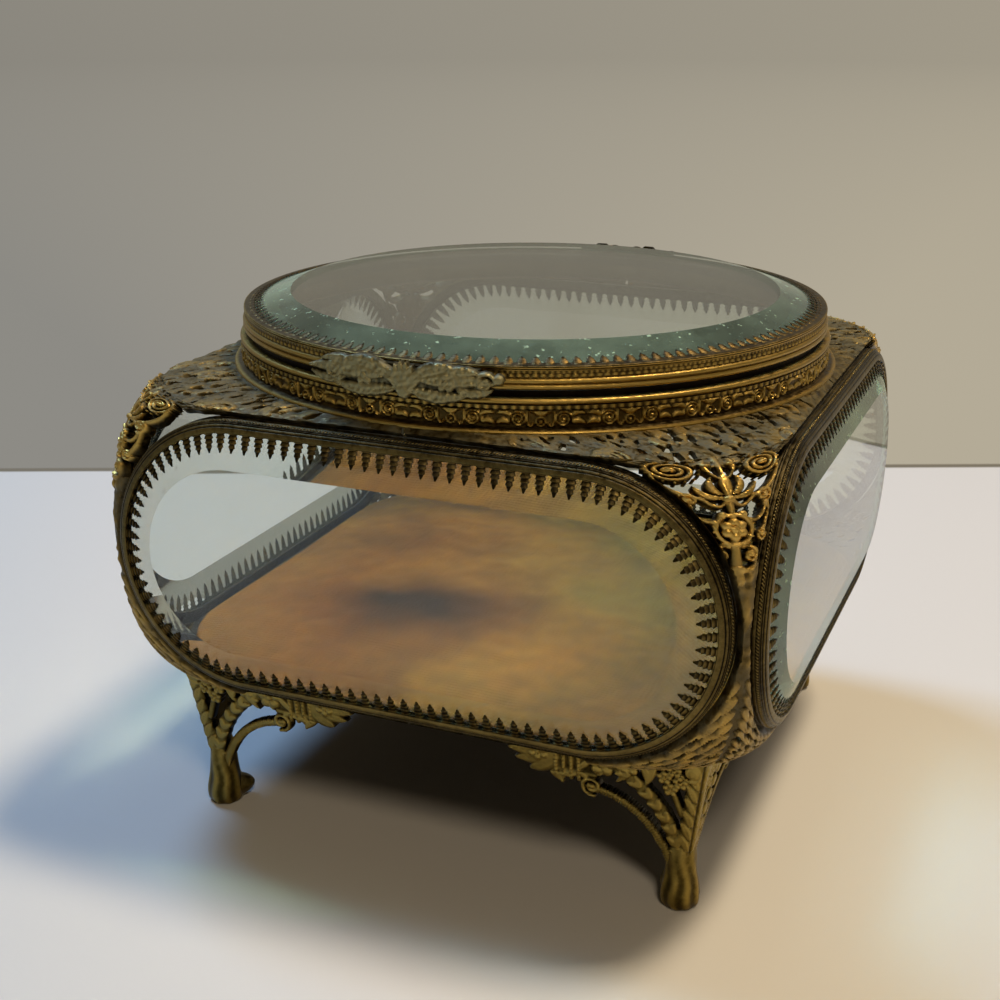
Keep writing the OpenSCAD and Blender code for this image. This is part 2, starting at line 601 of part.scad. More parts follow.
leaf_z0 = lid_z + (knuckle_r + sweep_clear - lid_gap / 2); // lower edge of the lid leaf, clear of the knuckles
module hinge_lid_leaf() color(brass) difference() {
  union() {
    intersection() {
      band(lid_r - sliver, lid_r + leaf_t, leaf_z0, lid_top + 1);
      translate([0, lid_r + leaf_cut, 0]) rotate([90, 0, 0]) linear_extrude(2 * leaf_cut) union() {
        leafage(lid_z - 1, thumb_high);
        translate([-5, leaf_z0 - 1]) square([10, 3]);
      }
    }
    translate([0, hinge_y, hinge_z]) rotate([0, 90, 0]) cylinder(r = knuckle_r, h = knuckle_mid_l, center = true);
    difference() {
      translate([-knuckle_mid_l / 2 + 0.3, lid_r - 3, hinge_z])
        cube([knuckle_mid_l - 0.6, hinge_y - lid_r + 3, knuckle_r + sweep_clear + 0.4]);
      translate([0, 0, lid_z - 2]) cylinder(r = lid_r + 0.2, h = 20);
    }
  }
  translate([0, hinge_y, hinge_z]) rotate([0, 90, 0])
    cylinder(r = pin_r + pin_clear, h = knuckle_mid_l + 2, center = true);
  lid_rivet_holes();
}

module hinge_body_leaf() color(brass) difference() {
  union() {
    intersection() {
      band(leaf_r - sliver, leaf_r + leaf_t, collar_z + 1.4, collar_top - 0.4);
      translate([0, leaf_r + leaf_cut, 0]) rotate([90, 0, 0]) linear_extrude(2 * leaf_cut)
        translate([-leaf_half_w, collar_z]) square([2 * leaf_half_w, collar_h]);
    }
    for (s = [-1, 1]) {
      x = s * (knuckle_mid_l / 2 + knuckle_gap + knuckle_end_l / 2);
      translate([x, hinge_y, hinge_z]) rotate([0, 90, 0]) cylinder(r = knuckle_r, h = knuckle_end_l, center = true);
      difference() {
        translate([x - knuckle_end_l / 2 + 0.3, hinge_y - 3, collar_top - 2]) cube([knuckle_end_l - 0.6, 3, 2.6]);
        translate([0, 0, collar_z]) cylinder(r = leaf_r + 0.1, h = 20);
      }
    }
  }
  translate([0, hinge_y, hinge_z]) rotate([0, 90, 0]) {
    cylinder(r = pin_r, h = hinge_len + 2, center = true);
    cylinder(r = knuckle_r + sweep_clear, h = knuckle_mid_l + knuckle_gap, center = true);
  }
  body_rivet_holes();
}

module hinge_pin() color(bright_brass) translate([0, hinge_y, hinge_z]) rotate([0, 90, 0]) {
  cylinder(r = pin_r, h = hinge_len, center = true);
  for (s = [0, 1]) mirror([0, 0, s]) translate([0, 0, hinge_len / 2]) cylinder(r1 = pin_r * 1.5, r2 = pin_r, h = 0.5);
}

// Two rivets from r0 to r1, with a domed head outside
module leaf_rivets(z, r0, r1) color(bright_brass) for (s = [-1, 1]) radial(s, z, r0) {
  cylinder(r = rivet_r, h = r1 - r0);
  translate([0, 0, r1 - r0]) intersection() {
    translate([0, 0, rivet_head_t - rivet_head_r * 1.2]) sphere(rivet_head_r * 1.2);
    cylinder(r = rivet_head_r, h = rivet_head_t);
  }
}
module hinge_body_rivets() leaf_rivets(body_rivet_z, collar_ri, leaf_r + leaf_t);
module hinge_lid_rivets() leaf_rivets(lid_rivet_z, lid_wall_r - lid_wall_t, lid_r + leaf_t);
module thumb_rivets() rotate(180) leaf_rivets(lid_rivet_z, lid_wall_r - lid_wall_t, thumb_r0 + leaf_t);

base_plate();
pad_board();
pad();
corner_metal(0);  // corner_front_right
corner_metal(1);  // corner_back_right
corner_metal(2);  // corner_back_left
corner_metal(3);  // corner_front_left
panel_bezel(0);  // bezel_front
panel_bezel(1);  // bezel_right
panel_bezel(2);  // bezel_back
panel_bezel(3);  // bezel_left
pane(0);  // pane_front
pane(1);  // pane_right
pane(2);  // pane_back
pane(3);  // pane_left
leg(0);  // leg_front_right
leg(1);  // leg_back_right
leg(2);  // leg_back_left
leg(3);  // leg_front_left
leg_rivets();
collar();
seat_ring();
hinge_body_leaf();
hinge_body_rivets();
hinge_pin();
lid_bezel();
lid_pane();
thumb_piece();
thumb_rivets();
hinge_lid_leaf();
hinge_lid_rivets();
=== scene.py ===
import math
import bpy
import numpy as np
from mathutils import Matrix, Vector


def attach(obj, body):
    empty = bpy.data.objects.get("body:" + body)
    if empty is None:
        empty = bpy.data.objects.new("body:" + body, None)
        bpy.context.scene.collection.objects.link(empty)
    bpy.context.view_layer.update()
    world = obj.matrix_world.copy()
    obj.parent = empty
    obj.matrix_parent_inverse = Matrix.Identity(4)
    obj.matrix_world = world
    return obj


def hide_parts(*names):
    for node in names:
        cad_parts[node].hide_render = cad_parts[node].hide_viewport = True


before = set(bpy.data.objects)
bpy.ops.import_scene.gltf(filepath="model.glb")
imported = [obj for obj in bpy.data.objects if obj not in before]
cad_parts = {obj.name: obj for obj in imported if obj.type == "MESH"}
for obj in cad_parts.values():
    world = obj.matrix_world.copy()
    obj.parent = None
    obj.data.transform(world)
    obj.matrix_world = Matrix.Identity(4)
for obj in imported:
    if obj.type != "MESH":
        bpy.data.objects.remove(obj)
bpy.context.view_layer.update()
mm = 0.001
twoPi = 2 * math.pi

# Sizes of the casket in millimetres, as the solids have them
casket = {"face": 70.0, "endRadius": 29.1, "halfStraight": 35.8, "panelMid": 66.2, "metal": 1.0,
          "under": 36.1, "panelTop": 95.3, "collarFoot": 97.3, "lidBand": 105.1}
sideNames = ["front", "right", "back", "left"]
cornerNames = ["front_right", "back_right", "back_left", "front_left"]


# Colours and nodes
def linear(code):
    # sRGB hex to linear: c / 12.92 up to 0.04045, and ((c + 0.055) / 1.055) ^ 2.4 above it.
    c = np.array([int(code[i:i + 2], 16) / 255 for i in (1, 3, 5)])
    c = np.where(c <= 0.04045, c / 12.92, ((c + 0.055) / 1.055) ** 2.4)
    return (float(c[0]), float(c[1]), float(c[2]), 1.0)


def addNode(tree, kind, settings=None, **inputs):
    # Adds a node, sets its settings ("stops" are a ramp's places and colours), and sets or links its inputs
    # by name, or by number where the name is _n. An input given as a node takes that node's first output in
    # use.
    node = tree.nodes.new("ShaderNode" + kind)
    for key, value in (settings or {}).items():
        if key != "stops":
            setattr(node, key, value)
            continue
        while len(node.color_ramp.elements) < len(value):
            node.color_ramp.elements.new(0.5)
        for element, (place, code) in zip(node.color_ramp.elements, value):
            element.position, element.color = place, linear(code)
    for key, value in inputs.items():
        socket = node.inputs[int(key[1:])] if key[0] == "_" else node.inputs[key.replace("_", " ")]
        if isinstance(value, bpy.types.Node):
            value = next(output for output in value.outputs if output.enabled)
        if isinstance(value, bpy.types.NodeSocket):
            tree.links.new(value, socket)
        else:
            socket.default_value = value
    return node


def newMaterial(name):
    material = bpy.data.materials.new(name)
    material.use_nodes = True
    material.node_tree.nodes.clear()
    return material, material.node_tree


# Settings of nodes that are used again and again
add, subtract, multiply, multiplyAdd, dot, larger = [
    {"operation": name} for name in ("ADD", "SUBTRACT", "MULTIPLY", "MULTIPLY_ADD", "DOT_PRODUCT", "MAXIMUM")]
addClamped, multiplyAddClamped = add | {"use_clamp": True}, multiplyAdd | {"use_clamp": True}
mixColours = {"data_type": "RGBA"}


def agedGilt(name, recess, middle, bright, dust="#8f8266", dustShare=0.35, polish=0.36, bump=0.25):
    # Gilt brass, stamped and years old: dark brown tarnish in the recesses, worn gilt on the high spots,
    # and pale dust on what faces up. The piece's own relief and dust values say where each lies.
    material, tree = newMaterial(name)
    place = addNode(tree, "TexCoord")
    here = place.outputs["Object"]
    relief = addNode(tree, "Attribute", {"attribute_name": "relief"}).outputs["Fac"]
    dusty = addNode(tree, "Attribute", {"attribute_name": "dust"}).outputs["Fac"]
    # patches of tarnish about 8 mm across, and specks of about 1 mm
    patches = addNode(tree, "TexNoise", Vector=here, Scale=90, Detail=4.0, Roughness=0.55)
    specks = addNode(tree, "TexNoise", Vector=here, Scale=900, Detail=3.0, Roughness=0.65)
    height = addNode(tree, "Math", multiplyAdd, _0=patches, _1=0.55, _2=relief)
    height = addNode(tree, "Math", multiplyAdd, _0=specks, _1=0.5, _2=height)
    worn = addNode(tree, "MapRange", _0=height, _1=0.4, _2=1.35)
    metal = addNode(tree, "ValToRGB", {"stops": [(0.0, recess), (0.45, middle), (0.95, bright)]}, Fac=worn)
    up = addNode(tree, "SeparateXYZ", Vector=place.outputs["Normal"]).outputs["Z"]
    facing = addNode(tree, "MapRange", _0=up, _1=0.15, _2=0.9)
    grains = addNode(tree, "MapRange", _0=specks, _1=0.4, _2=0.62)
    lying = addNode(tree, "Math", multiply, _0=facing, _1=grains)
    lying = addNode(tree, "Math", multiply, _0=lying, _1=dustShare)
    broken = addNode(tree, "MapRange", _0=specks, _1=0.32, _2=0.6, _3=0.35)
    film = addNode(tree, "Math", multiply, _0=dusty, _1=broken)
    cover = addNode(tree, "Math", addClamped, _0=lying, _1=film)
    colour = addNode(tree, "Mix", mixColours, _0=cover, _6=metal, _7=linear(dust))
    shine = addNode(tree, "MapRange", _0=specks, _1=0.3, _2=0.7, _3=polish, _4=polish + 0.16)
    shine = addNode(tree, "Math", multiplyAddClamped, _0=cover, _1=0.4, _2=shine)
    metallic = addNode(tree, "Math", multiplyAddClamped, _0=cover, _1=-0.85, _2=1.0)
    rise = addNode(tree, "Bump", Strength=bump, Distance=0.0004, Height=specks)
    shader = addNode(tree, "BsdfPrincipled", Base_Color=colour, Metallic=metallic, Roughness=shine,
                     Normal=rise)
    addNode(tree, "OutputMaterial", Surface=shader)
    return material


def plateGlass(name, tint, film, filmShare, rough=0.0):
    # Polished bevelled plate glass: clear, faintly green, with a thin film of dust that shows as a milky
    # veil. Lamps shine through it.
    material, tree = newMaterial(name)
    here = addNode(tree, "TexCoord").outputs["Object"]
    smear = addNode(tree, "TexNoise", Vector=here, Scale=28, Detail=5.0, Roughness=0.62)
    speck = addNode(tree, "TexNoise", Vector=here, Scale=620, Detail=2.0, Roughness=0.5)
    smear = addNode(tree, "MapRange", _0=smear, _1=0.4, _2=0.75, _3=filmShare * 0.2, _4=filmShare)
    speck = addNode(tree, "MapRange", _0=speck, _1=0.66, _2=0.74)
    share = addNode(tree, "Math", multiplyAddClamped, _0=speck, _1=filmShare * 2, _2=smear)
    glass = addNode(tree, "BsdfPrincipled", Base_Color=linear(tint), Roughness=rough, IOR=1.5,
                    Transmission_Weight=1.0)
    veil = addNode(tree, "BsdfPrincipled", Base_Color=linear(film), Roughness=0.7)
    dusted = addNode(tree, "MixShader", _0=share, _1=glass, _2=veil)
    through = addNode(tree, "BsdfTransparent", Color=linear(tint))
    lamp = addNode(tree, "LightPath").outputs["Is Shadow Ray"]
    clear = addNode(tree, "MixShader", _0=lamp, _1=dusted, _2=through)
    addNode(tree, "OutputMaterial", Surface=clear)
    return material


# Blooms are stains, each with its centre and radius in metres, its colour and how much of it shows
silkLook = {"tones": [(0.0, "#4a2f0c"), (0.3, "#694513"), (0.52, "#7f5819"), (0.74, "#74581b"),
                      (1.0, "#96722a")],
            "blooms": [((-0.045, -0.037, 0.04), 0.036, "#6c4214", 0.5),
                       ((0.047, -0.045, 0.04), 0.042, "#9c6318", 0.7),
                       ((0.03, 0.015, 0.04), 0.042, "#665e28", 0.35),
                       ((-0.025, -0.02, 0.04), 0.03, "#683a12", 0.5),
                       ((-0.0227, -0.0235, 0.04), 0.0165, "#190e0c", 0.96)],
            "soil": "#3a2a16", "wander": 0.036}


def stainedSilk(name):
    # Thin silk, faded and water-stained: brown with orange and grey-green clouds and one dark bloom. The
    # weave is about 0.25 mm, drawn at 0.5 mm so that it shows.
    material, tree = newMaterial(name)
    here = addNode(tree, "TexCoord").outputs["Object"]
    # the stains' outlines wander to and fro by half of wander
    driftX = addNode(tree, "TexNoise", Vector=here, Scale=30, Detail=3.0, Roughness=0.55)
    driftY = addNode(tree, "TexNoise", Vector=here, Scale=26, Detail=2.0, Roughness=0.55)
    drift = addNode(tree, "CombineXYZ", X=driftX, Y=driftY, Z=0.0)
    far = silkLook["wander"]
    shifted = addNode(tree, "VectorMath", multiplyAdd, _0=drift, _1=(far, far, 0.0), _2=here)
    shifted = addNode(tree, "VectorMath", subtract, _0=shifted, _1=(far / 2, far / 2, 0.0))
    cloud = addNode(tree, "TexNoise", Vector=shifted, Scale=16, Detail=6.0, Roughness=0.6)
    cloud = addNode(tree, "MapRange", _0=cloud, _1=0.32, _2=0.68)
    colour = addNode(tree, "ValToRGB", {"stops": silkLook["tones"]}, Fac=cloud)
    for centre, size, code, share in silkLook["blooms"]:
        away = addNode(tree, "VectorMath", {"operation": "DISTANCE"}, _0=shifted, _1=centre)
        near = addNode(tree, "MapRange", _0=away, _1=size * 1.25, _2=size * 0.3, _3=0.0, _4=share)
        colour = addNode(tree, "Mix", mixColours, _0=near, _6=colour, _7=linear(code))
    soiled = addNode(tree, "TexNoise", Vector=here, Scale=220, Detail=4.0, Roughness=0.55)
    soiled = addNode(tree, "MapRange", _0=soiled, _1=0.35, _2=0.7, _3=0.0, _4=0.35)
    colour = addNode(tree, "Mix", mixColours, _0=soiled, _6=colour, _7=linear(silkLook["soil"]))
    warp, woof = [addNode(tree, "TexWave", {"bands_direction": way}, Vector=here, Scale=314.0, Distortion=1.0,
                          Detail=1.0).outputs["Fac"] for way in ("X", "Y")]
    threads = addNode(tree, "Math", add, _0=warp, _1=woof)
    creases = addNode(tree, "TexNoise", Vector=here, Scale=75, Detail=3.0, Roughness=0.55)
    rise = addNode(tree, "Bump", Strength=0.35, Distance=0.0002, Height=threads)
    rise = addNode(tree, "Bump", Strength=0.4, Distance=0.0012, Height=creases, Normal=rise)
    shader = addNode(tree, "BsdfPrincipled", Base_Color=colour, Roughness=0.8, Specular_IOR_Level=0.12,
                     Sheen_Weight=0.02, Sheen_Roughness=0.4, Normal=rise)
    addNode(tree, "OutputMaterial", Surface=shader)
    return material


finish = {
    "silk": stainedSilk("StainedSilk"),
    "leg": agedGilt("CastGiltLeg", "#120d06", "#52451f", "#998444", "#69634a", 0.42, 0.34),
    "filigree": agedGilt("AgedGiltFiligree", "#110c05", "#655226", "#c6a354", "#575138", 0.38, 0.28),
    "band": agedGilt("RolledGiltBand", "#110c06", "#4e3e1e", "#a58946", "#665c46", 0.28, 0.31),
    "bezel": agedGilt("WornGiltBezel", "#0b0804", "#332a16", "#83703f", "#57513e", 0.36, 0.32, bump=0.45),
    "thumb": agedGilt("DustyThumbPiece", "#14110b", "#454028", "#9a9064", "#6a6650", 0.3, 0.28),
    "dark": agedGilt("TarnishedBrass", "#100b06", "#2c2217", "#4e3d26", "#4f4739", 0.3, 0.42),
    "bright": agedGilt("RubbedBrassStud", "#4d3c20", "#8a6c35", "#c5a25a", dustShare=0.1, polish=0.26),
    "glass": plateGlass("BevelledPlateGlass", "#f1f7f4", "#c9c4b4", 0.022),
    "bevel": plateGlass("BevelEdgeGlass", "#e3ebe4", "#c3c2b4", 0.06, 0.02),
    "deepBevel": plateGlass("DeepBevelGlass", "#8abca4", "#a2c0a4", 0.42, 0.05),
}
print("materials ready")


# Meshes
def gridFaces(rows, cols, wrapRows=False, wrapCols=False):
    # Quads between neighbours of a grid of rows x cols points, closed round where wrapped.
    r = np.arange(rows if wrapRows else rows - 1)
    c = np.arange(cols if wrapCols else cols - 1)
    r, c = [g.ravel() for g in np.meshgrid(r, c, indexing="ij")]
    down, along = (r + 1) % rows, (c + 1) % cols
    return np.stack([r * cols + c, r * cols + along, down * cols + along, down * cols + c], 1)


def outward(points, faces):
    # Turns the faces round if the closed mesh has a volume below zero: the sum of a . (b x c) / 6 over its
    # triangles. A triangle has its last corner twice, and keeps that corner last.
    t = points[np.concatenate([faces[:, [0, 1, 2]], faces[:, [0, 2, 3]]])]
    if np.einsum("ij,ij->i", t[:, 0], np.cross(t[:, 1], t[:, 2])).sum() > 0:
        return faces
    triple = faces[:, 2] == faces[:, 3]
    return np.where(triple[:, None], faces[:, [0, 2, 1, 1]], faces[:, ::-1])


def closedTube(rings):
    # rings is n x m x 3, a section of m points at each of n places; its two ends are closed by a fan.
    n, m = rings.shape[:2]
    points = np.concatenate([rings.reshape(-1, 3), rings[0].mean(0)[None], rings[-1].mean(0)[None]])
    around = np.arange(m)
    nextOne = (around + 1) % m
    last = (n - 1) * m
    start = np.stack([np.full(m, n * m), nextOne, around, around], 1)
    end = np.stack([np.full(m, n * m + 1), last + around, last + nextOne, last + nextOne], 1)
    return points, np.concatenate([gridFaces(n, m, wrapCols=True), start, end])


def makePiece(name, parts, materials, rides, stands, angle=38):
    # Joins closed parts, each (points in mm, faces, relief, dust, material number), into one mesh object at
    # the origin, which stands for the CAD node stands. Edges sharper than angle stay sharp.
    allPoints, allFaces, relief, dust, numbers, base = [], [], [], [], [], 0
    for part in parts:
        points, faces, high, soil, number = (*part, *(0.5, 0.0, 0)[len(part) - 2:])
        allPoints.append(points)
        allFaces.append(outward(points, faces) + base)
        for values, value, size in ((relief, high, points), (dust, soil, points), (numbers, number, faces)):
            values.append(np.broadcast_to(value, len(size)))
        base += len(points)
    points, faces = np.concatenate(allPoints) * mm, np.concatenate(allFaces)
    triple = faces[:, 2] == faces[:, 3]                # a repeated last corner marks a triangle
    counts = np.where(triple, 3, 4)
    keep = np.ones(faces.shape, bool)
    keep[triple, 3] = False
    mesh = bpy.data.meshes.new(name)
    mesh.vertices.add(len(points))
    mesh.vertices.foreach_set("co", points.astype(np.float32).ravel())
    mesh.loops.add(int(counts.sum()))
    mesh.loops.foreach_set("vertex_index", faces[keep].astype(np.int32))
    mesh.polygons.add(len(faces))
    mesh.polygons.foreach_set("loop_start", np.concatenate([[0], np.cumsum(counts)[:-1]]).astype(np.int32))
    for material in materials:
        mesh.materials.append(material)
    mesh.polygons.foreach_set("material_index", np.concatenate(numbers).astype(np.int32))
    mesh.update(calc_edges=True)
    mesh.validate()
    for label, values in (("relief", relief), ("dust", dust)):
        values = np.concatenate(values).astype(np.float32)
        mesh.attributes.new(label, "FLOAT", "POINT").data.foreach_set("value", values)
    mesh.shade_smooth()
    mesh.set_sharp_from_angle(angle=math.radians(angle))
    piece = bpy.data.objects.new(name, mesh)
    bpy.context.scene.collection.objects.link(piece)
    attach(piece, rides)
    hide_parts(stands)
    return piece


def turned(points, quarter):
    # Points turned by quarters of a turn round the vertical axis.
    c, s = [(1, 0), (0, 1), (-1, 0), (0, -1)][quarter]
    x, y, z = points[..., 0], points[..., 1], points[..., 2]
    return np.stack([c * x - s * y, s * x + c * y, z], -1)


def ringPoints(r, t, z):
    # Points (r cos t, r sin t, z) at radius r, angle t and height z.
    return np.stack([r * np.cos(t), r * np.sin(t), z + 0 * r * t], -1)


def lumps(x, y, size, seed):
    # Soft random lumps from -1 to 1: a sum of plane waves in random directions, of about that size.
    waves = 14
    r = np.random.default_rng(seed)
    turns, phases, shares = r.uniform(0, twoPi, waves), r.uniform(0, twoPi, waves), r.uniform(0.6, 1.6, waves)
    total = np.zeros(np.shape(x))
    for turn, phase, share in zip(turns, phases, shares):
        total += np.sin((x * math.cos(turn) + y * math.sin(turn)) * twoPi / (size * share) + phase)
    return total / (waves * 0.5) ** 0.5 / 2


# Drawing of ornament: a canvas holds, for each point of a grid, how far it is inside the metal, and how
# high it rises
def newCanvas(x0, x1, y0, y1, step):
    x, y = np.meshgrid(np.arange(x0, x1 + step, step), np.arange(y0, y1 + step, step))
    return {"x": x, "y": y, "step": step, "metal": np.full(x.shape, -1.5), "rise": np.zeros(x.shape)}


def stroke(canvas, path, width, rise=0.5, hole=False, groove=0.0):
    # A line whose width changes along it: metal is where the distance to it is under half the width w, and
    # its height is rise * sqrt(1 - (distance / w)^2). A hole takes metal away, and a groove lowers the
    # height along the middle.
    path = np.asarray(path, float)
    half = np.broadcast_to(np.asarray(width, float) / 2, len(path))
    margin = 2.2 * canvas["step"]
    x0, y0, step = canvas["x"][0, 0], canvas["y"][0, 0], canvas["step"]
    for p, q, wp, wq in zip(path[:-1], path[1:], half[:-1], half[1:]):
        reach = max(wp, wq) + margin
        low = np.floor((np.minimum(p, q) - reach - (x0, y0)) / step).astype(int).clip(0)
        high = np.ceil((np.maximum(p, q) + reach - (x0, y0)) / step).astype(int) + 1
        window = (slice(low[1], max(high[1], 0)), slice(low[0], max(high[0], 0)))
        x, y = canvas["x"][window] - p[0], canvas["y"][window] - p[1]
        if not x.size:
            continue
        d = q - p
        t = ((x * d[0] + y * d[1]) / max(d @ d, 1e-9)).clip(0, 1)
        away = np.hypot(x - t * d[0], y - t * d[1])
        w = wp + (wq - wp) * t
        if hole:
            canvas["metal"][window] = np.minimum(canvas["metal"][window], away - w)
            continue
        canvas["metal"][window] = np.maximum(canvas["metal"][window], w - away)
        share = (away / np.maximum(w, 1e-6)).clip(0, 1)
        up = rise * np.sqrt(1 - share ** 2) * np.minimum(1, w / 0.5 + 0.3)
        if groove:
            up = up - groove * np.exp(-(away / (0.22 * w + 0.05)) ** 2)
        canvas["rise"][window] = np.maximum(canvas["rise"][window], np.where(away < w, up, 0))


def disc(canvas, x, y, radius, rise=0.7):
    stroke(canvas, [(x, y), (x + 1e-4, y)], 2 * radius, rise)


def arc(x, y, radius, start, end, count=14):
    # Points (x + r cos t, y + r sin t), with t from start to end in degrees.
    t = np.radians(np.linspace(start, end, count))
    return np.stack([x + radius * np.cos(t), y + radius * np.sin(t)], 1)


def spiral(x, y, outer, inner, start, turns, hand=1, count=30):
    # Points at a radius that falls evenly from outer to inner while the angle goes round turns times.
    s = np.linspace(0, 1, count)
    r, t = outer + (inner - outer) * s, math.radians(start) + hand * twoPi * turns * s
    return np.stack([x + r * np.cos(t), y + r * np.sin(t)], 1)


def curve(*corners, hand=1, across=0.0, up=0.0, count=14):
    # A Bezier curve of three or four control points, mirrored by hand -1 and moved by across and up.
    s = np.linspace(0, 1, count)[:, None]
    c = [np.array([across + hand * x, up + y], float) for x, y in corners]
    while len(c) > 1:
        c = [(1 - s) * a + s * b for a, b in zip(c[:-1], c[1:])]
    return c[0]


def leaf(canvas, path, width, rise=0.55, groove=0.25):
    # A stroke that swells from a fine stem to a third of its length and runs out in a tip, with a groove on
    # its vein.
    s = np.linspace(0, 1, len(path))
    stroke(canvas, path, 0.25 + width * np.sin(math.pi * s ** 0.8) ** 0.9, rise, groove=groove)


def blossom(canvas, x, y, radius, petals=5, rise=0.75):
    # Petals as discs round a bead.
    for a in np.radians(90 + np.arange(petals) * 360 / petals):
        disc(canvas, x + radius * 0.58 * math.cos(a), y + radius * 0.58 * math.sin(a), radius * 0.44, rise)
    disc(canvas, x, y, radius * 0.3, rise * 1.35)


# Corners of a cell 0 1 2 3 anticlockwise, then the cuts of its edges 4 (0-1), 5 (1-2), 6 (2-3) and 7 (3-0)
cellShapes = {1: [[0, 4, 7]], 2: [[1, 5, 4]], 3: [[0, 1, 5, 7]], 4: [[2, 6, 5]], 5: [[0, 4, 7], [2, 6, 5]],
              6: [[1, 2, 6, 4]], 7: [[0, 1, 2, 6, 7]], 8: [[3, 7, 6]], 9: [[0, 4, 6, 3]],
              10: [[1, 5, 4], [3, 7, 6]], 11: [[0, 1, 5, 6, 3]], 12: [[2, 3, 7, 5]], 13: [[0, 4, 5, 2, 3]],
              14: [[1, 2, 3, 7, 4]], 15: [[0, 1, 2, 3]]}


def cutSheet(canvas, place, thickness, dust=None):
    # Cuts the canvas along metal = 0 by marching squares, lays it on a surface, and closes it with a back
    # and walls. place(x, y, level) gives points, level 0 on the outer face, 1 a thickness in, and below 0
    # raised.
    metal = canvas["metal"]
    rows, cols = metal.shape
    total = rows * cols
    ids = np.arange(total).reshape(rows, cols)
    inside = metal > 0
    code = inside[:-1, :-1] * 1 + inside[:-1, 1:] * 2 + inside[1:, 1:] * 4 + inside[1:, :-1] * 8
    # an id is a grid point, or past total a cut of the level edge, or past 2 total one of the upright edge
    a, b, c, d = ids[:-1, :-1], ids[:-1, 1:], ids[1:, 1:], ids[1:, :-1]
    cells = np.stack([a, b, c, d, total + a, 2 * total + b, total + d, 2 * total + a], -1)
    found = []
    for number, shapes in cellShapes.items():
        here = cells[code == number]
        for shape in shapes:
            for k in range(1, len(shape) - 1):
                found.append(here[:, [shape[0], shape[k], shape[k + 1]]])
    used, faces = np.unique(np.concatenate(found), return_inverse=True)
    faces = faces.reshape(-1, 3)
    kind, at = used // total, used % total
    other = np.where(kind == 0, at, np.where(kind == 1, at + 1, at + cols)).clip(0, total - 1)
    flat = {k: canvas[k].ravel() for k in ("x", "y", "metal", "rise")}
    a, b = flat["metal"][at], flat["metal"][other]
    share = np.where(kind == 0, 0, (a / np.where(kind == 0, 1, a - b)).clip(0.04, 0.96))
    x, y, rise = [flat[k][at] + (flat[k][other] - flat[k][at]) * share for k in ("x", "y", "rise")]
    up = np.where(kind == 0, rise, np.minimum(flat["rise"][at], flat["rise"][other]) * 0.5)
    count = len(used)
    front, back = place(x, y, -up / thickness), place(x, y, np.ones(count))
    ends = np.concatenate([faces[:, [0, 1]], faces[:, [1, 2]], faces[:, [2, 0]]])
    forward, backward = ends[:, 0] * count + ends[:, 1], ends[:, 1] * count + ends[:, 0]
    rim = ends[~np.isin(forward, backward)]
    walls = np.stack([rim[:, 1], rim[:, 0], rim[:, 0] + count, rim[:, 1] + count], 1)
    skin = np.concatenate([faces, faces[:, ::-1] + count])
    skin = np.concatenate([skin, skin[:, 2:]], 1)
    relief = np.concatenate([up / 0.8, np.full(count, 0.1)])
    soil = np.tile(dust(x, y), 2) if dust else np.zeros(2 * count)
    return np.concatenate([front, back]), np.concatenate([skin, walls]), relief.clip(0, 1), soil


# Corners: pierced sheet from the collar over the shoulder and down between two bezels
cornerLook = {"canvas": (-63, 63, -19.5, 101.5), "step": 0.34, "halfSide": 60.2, "setBack": 2.8,
              "lipDepth": 6.0, "footRing": 65.3, "leafPitch": 3.7, "leafRows": 3.9, "leafWidth": 2.5,
              "hole": 1.5, "volute": (19.6, -0.6), "shift": 2.0, "seed": 7}
cornerFace = casket["face"] - cornerLook["setBack"]     # stands back from the bezels, whose walls show
cornerBend = (cornerFace - casket["halfStraight"]) * math.pi / 4   # half the way round the corner
cornerDrop = math.pi * (casket["endRadius"] + casket["metal"])     # the way down the skirt


